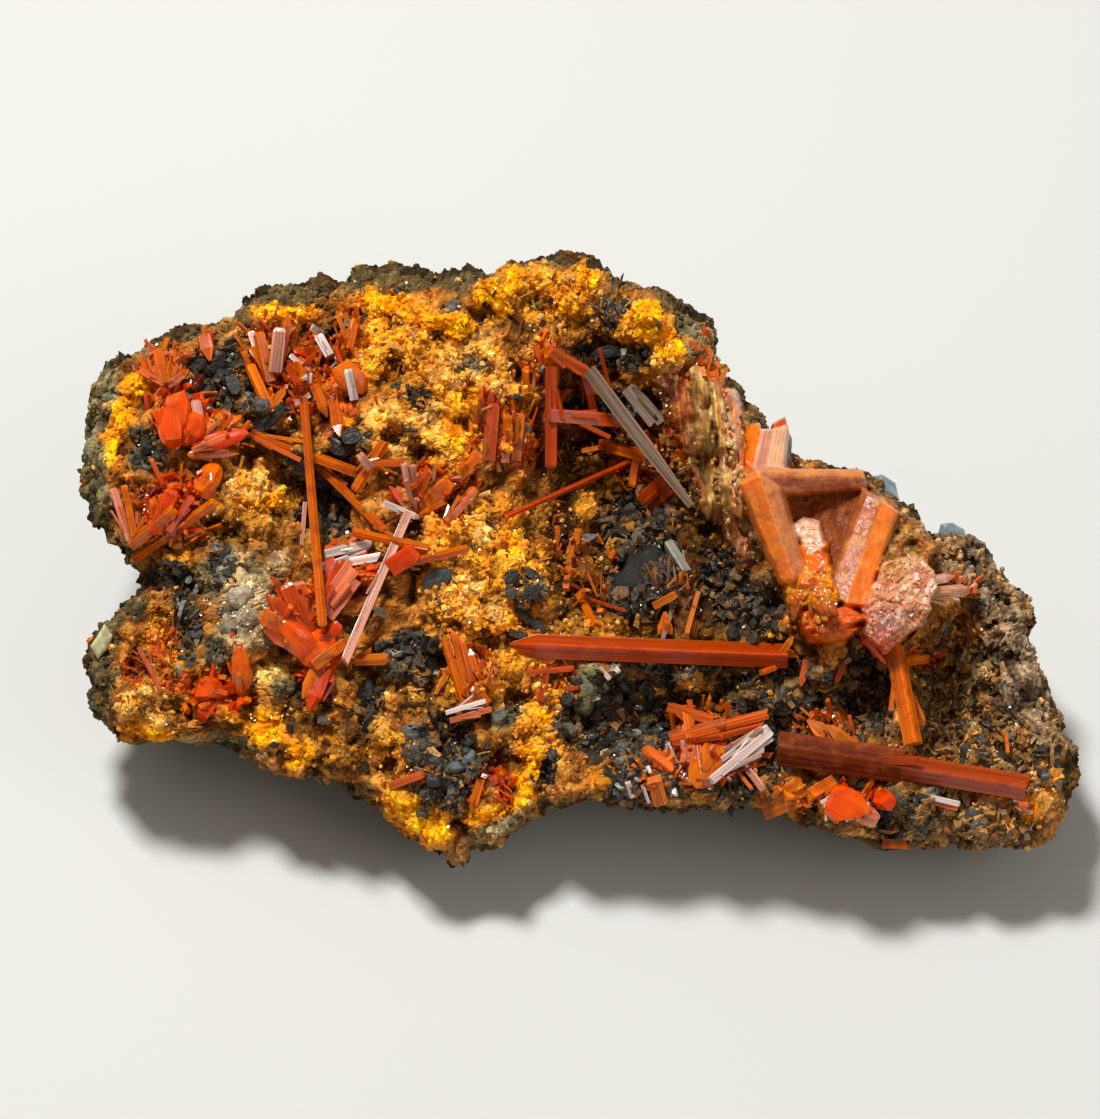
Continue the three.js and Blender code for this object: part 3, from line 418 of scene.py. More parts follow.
crocoiteLooks = {
    "glassy": {"gloss": 0.05, "clear": 0.2, "glow": 0.35, "roughness": 0.1, "roughSpread": 0.14, "dust": 0.6,
               "dustFrom": 0.47, "dustColour": 0xA83400, "etch": 0.3, "deepStreak": 0xF2DCC4,
               "paleStreak": (1.08, 1.12, 1.06)},
    "lacquered": {"gloss": 0.1, "clear": 0.1, "glow": 0.4, "roughness": 0.07, "roughSpread": 0.12,
                  "dust": 0.6, "dustFrom": 0.48, "dustColour": 0xB83800, "groove": 0.4, "etch": 2.4,
                  "deepStreak": 0xF4E4D4, "paleStreak": (1.04, 1.06, 1.02)},
    "dusty": {"gloss": 0.05, "glow": 0.25, "roughness": 0.36, "roughSpread": 0.24, "dust": 0.4,
              "dustFrom": 0.5, "dustColour": 0xA85C24, "etch": 1.2, "deepStreak": 0xE4C4A4,
              "paleStreak": (1.12, 1.14, 1.1)},
    "silvery": {"gloss": 0.3, "glow": 0.2, "coat": 0.1, "roughness": 0.18, "roughSpread": 0.12, "dust": 0.3,
                "dustFrom": 0.56, "dustColour": 0xC87850, "groove": 0.6, "etch": 0.2,
                "deepStreak": 0xD8B0A0, "paleStreak": (1.1, 1.14, 1.15)},
    "frosted": {"gloss": 0.2, "glow": 0.3, "roughness": 0.24, "roughSpread": 0.3, "dust": 0.6,
                "dustFrom": 0.46, "dustColour": 0xDCB488, "groove": 0.8, "etch": 2.6,
                "deepStreak": 0xECC8B4, "paleStreak": (1.1, 1.1, 1.1)},
    "resinous": {"gloss": 0.1, "glow": 0.55, "roughness": 0.24, "roughSpread": 0.3, "dust": 0.5,
                 "dustFrom": 0.5, "dustColour": 0xDC9C5C, "groove": 0.2, "etch": 4.0,
                 "deepStreak": 0xF4E8DC, "paleStreak": (1.04, 1.05, 1.04)},
    "weathered": {"ior": 1.9, "gloss": 0.3, "glow": 0.0, "roughness": 0.38, "roughSpread": 0.3, "dust": 0.6,
                  "dustFrom": 0.52, "dustColour": 0x7A5838, "groove": 0.8, "etch": 1.0,
                  "deepStreak": 0xA88C78, "paleStreak": (1.3, 1.3, 1.3)},
}


# The chips: a waxy pale green one and glassy blue-grey ones, chipped along their edges.
def chipMaterial(name, look):
    material, tree, shader = newMaterial(name, {
        "IOR": look["ior"], "Roughness": look["roughness"], "Transmission Weight": look["clear"],
        "Subsurface Weight": look["glow"], "Subsurface Radius": (1.0, 1.0, 0.8), "Subsurface Scale": 0.6 * mm,
    })
    coords = addNode(tree, "TexCoord").outputs["Object"]
    tint = addNode(tree, "Attribute", {"attribute_name": "tint"})
    cloud = addNode(tree, "TexNoise", inputs={"Vector": coords, "Scale": 1 / (0.5 * mm), "Detail": 4.0})
    shade = addNode(tree, "MapRange", inputs={"Value": cloud, "To Min": 0.7, "To Max": 1.25})
    colour = addNode(tree, "MixRGB", {"blend_type": "MULTIPLY"}, {
        "Fac": 1.0, "Color1": tint, "Color2": shade})
    bump = addNode(tree, "Bump", inputs={"Strength": 0.3, "Distance": 0.05 * mm, "Height": cloud})
    tree.links.new(colour.outputs[0], shader.inputs["Base Color"])
    tree.links.new(bump.outputs[0], shader.inputs["Normal"])
    return material


waxyChip = chipMaterial("waxyChip", {"ior": 1.55, "roughness": 0.4, "clear": 0.0, "glow": 0.4})
glassChip = chipMaterial("glassChip", {"ior": 1.54, "roughness": 0.2, "clear": 0.35, "glow": 0.0})
gossan = gossanMaterial()
crocoite = {key: crocoiteMaterial(key + "Crocoite", look) for key, look in crocoiteLooks.items()}
crystalMaterials = list(crocoite.values())
crystalKinds = list(crocoite)


# Rock

# Patches of the face by kind of crust: its two colours, then rows of across, down, the half widths and
# the turn in degrees.
kinds = {
    "brown": [(0x865A20, 0x523618), [
        (20.5, 50.5, 6, 4, 0), (34, 73, 4.5, 4, 20), (29.5, 41, 4, 4, 0), (57, 56, 4, 7, 0),
        (64, 47, 9, 9, 0), (33, 35, 4, 3, 0), (50.5, 36.5, 2.2, 1.6, 0), (60.5, 32, 6, 4, 10),
        (49, 75.5, 2.2, 2.6, 0), (74, 54, 3, 3, 0), (18, 58.5, 2.4, 1.6, 0), (95, 57, 1.6, 2, 0),
        (92, 76, 9, 3, 5), (80, 69, 4, 3, 0), (60, 74, 4, 4, 0), (97.2, 68.5, 2.6, 5, -8),
        (16, 66, 3, 4, 0), (30, 71.5, 3, 2, 20), (53.4, 31.6, 2, 3, 30), (60, 29.6, 2.6, 1.2, 0),
        (16, 71.6, 3, 1.2, 0), (55.6, 36, 4, 3, 0), (42, 46.4, 3, 1.6, 0), (44, 70.5, 4.5, 2, 0),
        (14.5, 51.5, 3, 3, 0),
    ]],
    "ochre": [(0xD89C2C, 0xBC7C24), [
        (39.5, 34.5, 5, 4.8, 0), (45.5, 42.5, 5, 5, 0), (16.5, 64, 2.2, 3.2, 0), (48.5, 56, 6.5, 6.5, 0),
        (47.5, 65, 6, 5, 0), (54, 73, 2.6, 5, 0), (26.5, 49.5, 3.4, 3, 0), (40, 75.5, 2.4, 2.2, 0),
        (59, 51, 2, 2.4, 0), (55.4, 29.4, 4.2, 2.6, 0), (66, 34, 4.6, 2.4, 40), (17.8, 55.8, 1.8, 1, 0),
        (70, 69, 2.4, 1.6, 10), (73.6, 68.4, 2, 1.4, 0), (61, 62.6, 3.2, 1, 0), (77, 63.2, 2.4, 0.9, 0),
        (51.5, 42.5, 3.4, 3.6, 0), (55.5, 66, 2, 4, 0), (96.2, 63.6, 1.6, 1.2, 0), (42, 67.4, 2, 2, 0),
        (60.4, 78.2, 1.6, 1.3, 0),
    ]],
    "buff": [(0xCC963E, 0xE0B466), [
        (47.5, 37.2, 3.4, 3.4, 0), (40.5, 42.5, 4.4, 3, 0), (15, 70.5, 3.2, 2.2, 0),
        (25, 48.5, 2.6, 1.6, 0), (46, 59.5, 2.8, 2.3, 0), (48.8, 53.2, 1.6, 1.4, 0),
        (22.4, 32.2, 1.6, 0.9, 0), (50.5, 61, 1.9, 1.7, 0), (27.6, 67.6, 2.2, 1.8, 0),
        (54.6, 69.5, 1.6, 3, 0), (37.6, 70.5, 1.8, 2.6, 0), (54, 34, 1.6, 1.3, 0), (66.5, 36, 2.6, 1.3, 30),
    ]],
    "yellow": [(0xF4A406, 0xDC8C04), [
        (12.7, 38.6, 1.3, 2.2, 10), (11.8, 41.6, 1.3, 1.9, 20), (10.9, 44, 0.9, 2.6, 0),
        (28, 31.2, 3.4, 0.8, 0), (38.6, 30.2, 3, 1.7, 10), (44.5, 32.4, 3.2, 1.2, 0), (49, 29.8, 1.9, 2, 0),
        (51, 27.4, 1.3, 1.7, 0), (58.8, 27.2, 1.5, 1.8, 0), (64.6, 31.6, 1.3, 2, -35),
        (66.8, 34.4, 1.3, 1.8, -35), (34.4, 42.2, 0.8, 0.6, 0), (14, 73.2, 3.4, 0.8, 5),
        (26.4, 72.8, 3.2, 1.9, 20), (41.5, 82, 4.4, 2.6, 25), (53, 77.2, 1.5, 2.6, 0),
        (49.5, 81, 3.4, 1, -20), (50.4, 54.4, 1.1, 1.7, 0), (51.6, 62.6, 1.2, 0.9, 0),
        (101.8, 81.2, 1.7, 1.5, 0), (18.2, 51.8, 1.8, 1, 30), (26.8, 50.6, 2, 0.9, -20),
        (45.8, 43.4, 1.3, 1.5, 0), (54.6, 71.6, 1.2, 1.4, 0), (46.6, 39.8, 2, 1.2, 0),
        (17.4, 54.6, 0.9, 0.6, 0), (104.8, 77.6, 0.9, 1.6, 20), (56.6, 30.8, 1.8, 1, 30),
        (30, 75.6, 1.4, 1.6, 30),
    ]],
    "grey": [(0x7E7656, 0x5E5A42), [
        (9.5, 39, 2.3, 3.6, 0), (8.8, 44.5, 1.9, 4.4, 0), (9.4, 50, 1.7, 3, 0), (23.5, 57.8, 4, 3.2, 20),
        (25.2, 61, 4, 3.4, 50), (22, 65.4, 1.9, 1.9, 0), (22.5, 74.4, 5.6, 0.9, 5),
        (50, 82.6, 4.2, 1.4, -25), (28.6, 68.6, 1.6, 1.4, 0), (51, 71.6, 1.8, 1, -35),
        (58.5, 68.9, 1.7, 2.4, 0), (69.5, 32.8, 2, 3.2, -20), (61, 65.2, 0.9, 0.8, 0),
        (78.2, 76.2, 0.9, 1.2, 0), (47.6, 36.4, 1.6, 1, -20), (90, 83.8, 4, 0.8, 0), (45, 31, 0.8, 0.9, 0),
        (76, 43.6, 1.4, 2.6, -35),
    ]],
    "ash": [(0xA08C66, 0x746850), [
        (25.4, 60.4, 2.8, 3.4, 40), (27.2, 57, 1.2, 2.4, 40), (23.2, 57, 1.4, 2.2, 20),
        (24, 63.6, 2.4, 1.4, 20), (27, 62.8, 1.4, 1.2, 0),
    ]],
    "tan": [(0x8E7A62, 0x756654), [
        (97.5, 56.4, 4.4, 2.8, 30), (101, 62, 3, 5.4, -15), (102.6, 68.5, 3.4, 4.8, 0),
        (99.8, 67, 2, 4.6, -8), (104.4, 73.4, 2.2, 3, -20), (99.6, 59.6, 2.6, 3, 0),
    ]],
    "moss": [(0x4A4028, 0x5A4E32), [
        (29, 29, 5.4, 1.6, -5), (24.2, 31, 1.6, 1.6, 0), (40, 27.6, 4.6, 1.5, 5), (46.4, 28, 2.8, 1.9, 0),
        (54.5, 25.9, 4, 0.8, 0), (17, 33.2, 2.6, 0.9, -5), (68.4, 30.4, 3.4, 1.5, 30),
        (36, 27.8, 1.8, 1.8, 0), (10, 67.5, 2, 6, 5), (12, 61.5, 2.6, 1.6, -40), (8.9, 52.6, 1.4, 1.6, 0),
        (87.6, 48.6, 4.6, 0.9, 30), (106.6, 78.2, 1.6, 3, 10), (73.6, 39.6, 1.2, 2, -30),
        (35.5, 78.6, 2.6, 0.8, 20), (12.2, 56, 1.6, 0.9, 30), (82, 82.2, 3, 0.8, 5),
        (62, 28.2, 1.8, 0.8, 20),
    ]],
    "black": [(0x2A2822, 0x4A4232), [
        (21.2, 37.5, 2.9, 3.6, 0), (26.4, 41.4, 2.4, 1.9, 30), (34.8, 44.1, 1.9, 1.4, 0),
        (14.8, 45, 1.9, 2.4, 0), (16.6, 57.4, 2.2, 1.2, 0), (19, 62.6, 1.1, 3.6, 0),
        (22.4, 56.6, 0.8, 2.4, -30), (32.4, 51, 2.6, 2.6, 0), (31, 47, 3, 1.8, 20),
        (41.2, 65.6, 3.2, 2.8, 0), (36.8, 70, 1.2, 2.4, 0), (44.4, 76.2, 4, 4.8, 0),
        (61.2, 35.4, 4.2, 1.2, 8), (41.6, 39.7, 1.3, 1.1, 0), (64.2, 58.4, 3.4, 4, 15), (64, 52, 4.4, 3, 0),
        (75.4, 60.6, 4, 3.4, 0), (72, 57.4, 1.8, 2.6, 0), (63.5, 71.5, 8, 4.6, 0),
        (77.5, 70.5, 7.5, 4.6, 0), (86.8, 69, 3, 5, 0), (95.4, 69.5, 4.2, 6.6, -8), (99.5, 75.2, 3, 3, 0),
        (103.4, 76.4, 2.2, 2.8, 0), (93.5, 81.6, 8, 2.9, 5), (98.5, 82.6, 4, 2, 0), (64, 78.6, 5, 1.6, 0),
        (74, 77.5, 4, 2.6, 0), (60.6, 31, 1.8, 1.4, 0), (54.6, 76.9, 1, 1.9, 10), (52.6, 58.8, 1.4, 1.6, 0),
        (85, 78.4, 3, 1.6, 0), (67.5, 66.6, 6, 1.2, 0), (61.5, 40.5, 4.5, 1.2, 10),
        (33.2, 33.6, 1.8, 1.2, 0), (8.6, 41, 0.6, 0.8, 0),
    ]],
    "rosy": [(0x8A6040, 0xA07A50), [
        (70.8, 43.8, 2.6, 5.6, -12), (68.6, 38.6, 2.6, 2.2, 0), (73, 50, 2, 3.4, -15),
        (50.6, 43.6, 1.6, 2.6, 0), (75.4, 53.6, 1.8, 2.6, -20), (23.4, 60.8, 1.7, 1.6, 0),
    ]],
    "rust": [(0x8A3A14, 0xB85A20), [
        (30.6, 37.6, 3.2, 3.4, 0), (33, 40.6, 2.6, 3.2, 0), (16.4, 50.6, 3.2, 2.6, 0),
        (17, 40.6, 1.4, 3, 0), (31.4, 63.4, 3, 3.4, 0), (35, 57.6, 3.4, 2.6, 0), (49.6, 76.8, 1.6, 1.8, 0),
        (52, 43.8, 2.4, 3, 0), (70.4, 75.8, 3.6, 2.6, 0), (16, 37.8, 2.4, 1.6, 0),
        (22.4, 69.2, 2.4, 1.6, 0), (79.5, 60.6, 2.2, 2.4, 0), (16.6, 64.4, 1.6, 2.6, 10),
        (13.6, 67, 1, 1.6, 0), (18, 68.4, 1.6, 1.2, 0),
    ]],
}


# How strongly a list of patches covers points, 0 to 1, with their edges broken up by noise.
def cover(a, d, patches, jitter):
    best = np.zeros(len(a))
    for row in patches:
        edge = np.hypot(*inEllipse(a, d, *row)) + jitter * min(1.0, 1.6 / min(row[2:4]))
        best = np.maximum(best, 1 - smooth(0.72, 1.22, edge))
    return best


# The grid of the face: a square drawn onto a disc, then out to the outline.
def faceGrid(columns, rows):
    u, v = np.meshgrid(np.linspace(-1, 1, columns), np.linspace(-1, 1, rows))
    x = (u * np.sqrt(1 - v * v / 2)).ravel()
    y = (v * np.sqrt(1 - u * u / 2)).ravel()
    share = np.hypot(x, y)
    r = np.maximum(share, 1e-6)
    edge = outlineShare(x / r, y / r)
    a = rock["hub"][0] + x * edge * rock["reach"][0]
    d = rock["hub"][1] - y * edge * rock["reach"][1]
    return a, d, share, x / r, y / r, edge


# Rows of points down the walls from each rim point: the walls' profile, dense, then spaced evenly.
def wallRows(ux, uy, edge, rimDepth, rows):
    first = np.linspace(0, 1, 30)[1:]
    shares = np.concatenate([np.ones(len(first)), np.linspace(1, 0.45, 90)[1:]])
    shrink = np.concatenate([1 - 0.05 * first, 0.95 * shares[len(first):]])
    a = rock["hub"][0] + ux[:, None] * edge[:, None] * shrink * rock["reach"][0]
    d = rock["hub"][1] - uy[:, None] * edge[:, None] * shrink * rock["reach"][1]
    out = backDepth(a, d, np.broadcast_to(shares, a.shape))
    rimBack = out[:, len(first) - 1][:, None]
    out[:, :len(first)] = rimDepth[:, None] + (rimBack - rimDepth[:, None]) * first
    path = place(a, d, out)
    path[..., 2] = np.maximum(path[..., 2], 0)
    length = np.cumsum(np.linalg.norm(np.diff(path, axis=1), axis=2), axis=1)
    length = np.concatenate([np.zeros((len(a), 1)), length], axis=1)
    floor = path[..., 2] < 0.02
    reached = np.where(floor.any(axis=1), floor.argmax(axis=1), path.shape[1] - 1)
    pick = np.arange(len(a))
    made = []
    for share in np.linspace(0, 1, rows):
        want = length[pick, reached] * share
        k = np.clip((length < want[:, None]).sum(axis=1), 1, path.shape[1] - 1)
        t = (want - length[pick, k - 1]) / np.maximum(length[pick, k] - length[pick, k - 1], 1e-9)
        made.append(path[pick, k - 1] + (path[pick, k] - path[pick, k - 1]) * np.clip(t, 0, 1)[:, None])
    return np.array(made)


# The mean of a grid over the square of cells about each one.
def averaged(grid, reach):
    size = 2 * reach + 1
    sums = np.pad(np.pad(grid, reach, mode="edge").cumsum(axis=0).cumsum(axis=1), ((1, 0), (1, 0)))
    return (sums[size:, size:] - sums[:-size, size:] - sums[size:, :-size] + sums[:-size, :-size]) / size ** 2


def meshNormals(points, faces):
    mesh = bpy.data.meshes.new("scratch")
    mesh.from_pydata(points, [], [f for part in faces for f in part.tolist()])
    normals = np.zeros(len(points) * 3, np.float32)
    mesh.vertices.foreach_get("normal", normals)
    bpy.data.meshes.remove(mesh)
    return normals.reshape(-1, 3).astype(float)


# The rock: the face grid, the walls below its rim and a flat base, pushed out along its own normals by
# lumps, broken plates, grains and pits, each as strong as the crust at that place has it.
def buildRock():
    size = {"columns": 348, "rows": 204, "wallRows": 44}
    a, d, share, ux, uy, edge = faceGrid(size["columns"], size["rows"])
    depth = faceDepth(a, d)
    for row in rock["details"]:
        depth = depth + landform(a, d, row)
    face = place(a, d, depth)
    index = np.arange(len(face)).reshape(size["rows"], size["columns"])
    rim = np.concatenate([index[0, :-1], index[:-1, -1], index[-1, :0:-1], index[:0:-1, 0]])
    half, mids = rim[::2], rim[1::2]
    walls = wallRows(ux[half], uy[half], edge[half], depth[half], size["wallRows"])[1:]
    wallIndex = len(face) + np.arange(walls[..., 0].size).reshape(-1, len(half))
    top = wallIndex[0]
    topAfter, halfAfter = np.roll(top, -1), np.roll(half, -1)
    join = [np.stack(corners, axis=1) for corners in (
        (half, top, mids), (mids, top, topAfter), (mids, topAfter, halfAfter))]
    centre = walls[-1].mean(axis=0) * (1, 1, 0)
    points = np.concatenate([face, walls.reshape(-1, 3), centre[None]])
    quads, wallQuads = gridQuads(index, flip=True), gridQuads(wallIndex, ring=True)
    faces = [quads, wallQuads, *join, fan(wallIndex[-1], len(points) - 1)[:, [0, 2, 1]]]
    normals = meshNormals(points, faces)
    isFace = np.arange(len(points)) < len(face)

    # where each point lies in the viewed plane, for the patches
    flat = points - np.array(viewed["shift"])
    pa = flat @ acrossDir + viewed["middle"][0]
    pd = viewed["middle"][1] - flat @ upDir
    jitter = 0.45 * fractal(points, 2.4, 5, 3)
    outer = np.ones(len(points))
    outer[isFace] = 0.75 * smooth(0.93, 1.0, share)
    weights = {key: cover(pa, pd, patches, jitter) * (1 - outer) for key, (_, patches) in kinds.items()}
    for key in ("grey", "tan", "moss"):
        near = cover(pa, pd, kinds[key][1], jitter)
        weights[key] = np.maximum(weights[key], near * smooth(-6, 0, (points[:, 2] - 14) * 0.8))
    black, tan = weights["black"], weights["tan"]

    # relief: round grains of three sizes that meet in creases, broken plates, pits and lumps
    bigBest, _, _ = cells(points, 2.1, 13)
    best, _, luck = cells(points, 1.15, 3)
    smallBest, _, smallLuck = cells(points, 0.62, 9)
    _, plateOffset, plateLuck = cells(points * (1, 1, 1.6), 1.7, 21)
    grains = 0.75 * (0.3 - bigBest ** 2) + 0.55 * (0.3 - best ** 2) + 0.28 * (0.3 - smallBest ** 2)
    slopes = (plateLuck - 0.5) * 2.4
    plates = 0.6 * (plateOffset * slopes).sum(axis=1) + 0.9 * (plateLuck[:, 0] - 0.5)
    plates = plates + 0.3 * (0.5 - smallBest)
    pits = -0.9 * smooth(0.42, 0.16, best) * (luck[:, 1] > 0.35) - 0.4 * smooth(0.4, 0.15, smallBest)
    rough = 0.9 * fractal(points, 3.2, 31, 5, 0.55)
    fine = 0.3 * fractal(points, 0.9, 47, 2)
    granular = np.clip(weights["ochre"] + weights["yellow"] + weights["buff"] + 0.5 * weights["brown"], 0, 1)
    height = rough + fine + grains * (0.55 + 0.45 * granular) * (1 - 0.6 * black)
    height = height + plates * black * 0.9 + pits * tan
    height = height - 0.25 * black + 0.15 * weights["yellow"]
    wall = height * 0.9 + 0.5 * fractal(points, 6.5, 77, 3)
    height = np.where(isFace, height, wall * smooth(0.3, 4.5, points[:, 2]))
    moved = points + normals * height[:, None]
    moved[:, 2] = np.maximum(moved[:, 2], 0)
    seen = (depth + height[isFace]).reshape(index.shape)
    # how far each point of the face lies below the mean about it, at three reaches, for painted shade
    hollow = np.zeros(len(points))
    hollow[isFace] = sum(
        part * (averaged(seen, reach) - seen) for part, reach in ((1.1, 3), (0.22, 12), (0.07, 34))).ravel()

    # colour: an earthy base, then each kind of crust over it, and each grain a little different
    mix = smooth(-0.35, 0.35, fractal(points, 1.6, 60))
    stain = smooth(0.15, 0.5, fractal(points, 5.0, 64))
    skin = blend(blend(0x4E4636, 0x786848, mix), 0x9A6420, 0.7 * stain)
    tint = blend(blend(0x845622, 0xA8722E, mix), skin, outer)
    for key in ("brown", "ochre", "buff", "grey", "tan", "moss", "black", "rosy", "rust", "yellow", "ash"):
        tint = blend(tint, blend(*kinds[key][0], mix), weights[key])
    # the dark crust at the right is browner, and is painted lighter, as if it lay in the light
    right = smooth(87, 95, pa) * smooth(60, 65, pd) * black * 0.75
    tint = blend(tint, 0xA07846, right)
    # painted shade: darker in the hollows, down to a third, and lighter on the rises
    tint = tint * (np.clip(1 - 1.1 * hollow, 0.34, 1.5) * (1 + 0.6 * right))[:, None]
    tint = tint * (0.65 + 0.7 * smallLuck[:, :1]) * (0.8 + 0.4 * luck[:, :1])
    tint = blend(tint, 0xE8A020, (smallLuck[:, 1] > 0.88) * granular)
    # painted shade: darker over the deep middle of the face, and in the pits of the tan rock
    deep = np.clip(landform(pa, pd, (67.5, 57.5, 10, 8.5, 0, 0.8)), 0, 1) * isFace
    tint = tint * ((1 - 0.6 * (pits * tan < -0.15)) * (1 - deep))[:, None]
    shine = black * (0.3 + 0.9 * (plateLuck[:, 2] > 0.55)) + 0.4 * weights["rosy"] + 0.8 * weights["ash"]
    made = {"points": moved, "faces": faces, "tint": np.clip(tint, 0, 1), "shine": np.clip(shine, 0, 1)}
    addPiece("gossanRock", made, [gossan], ["matrix"])
    return {
        "points": moved, "face": quads, "walls": wallQuads, "tint": made["tint"], "outer": outer,
        "granular": granular, "flat": np.column_stack([pa, pd]), "deep": deep, **weights,
    }


surface = buildRock()
print("rock", len(surface["points"]), "points")


# Crystals

# A ball one unit across, finer with each level.
def ballShape(level):
    made = bmesh.new()
    bmesh.ops.create_icosphere(made, subdivisions=level, radius=0.5)
    points = np.array([v.co for v in made.verts])
    faces = np.array([[v.index for v in f.verts] for f in made.faces])
    made.free()
    return points, faces


fineBall = ballShape(4)


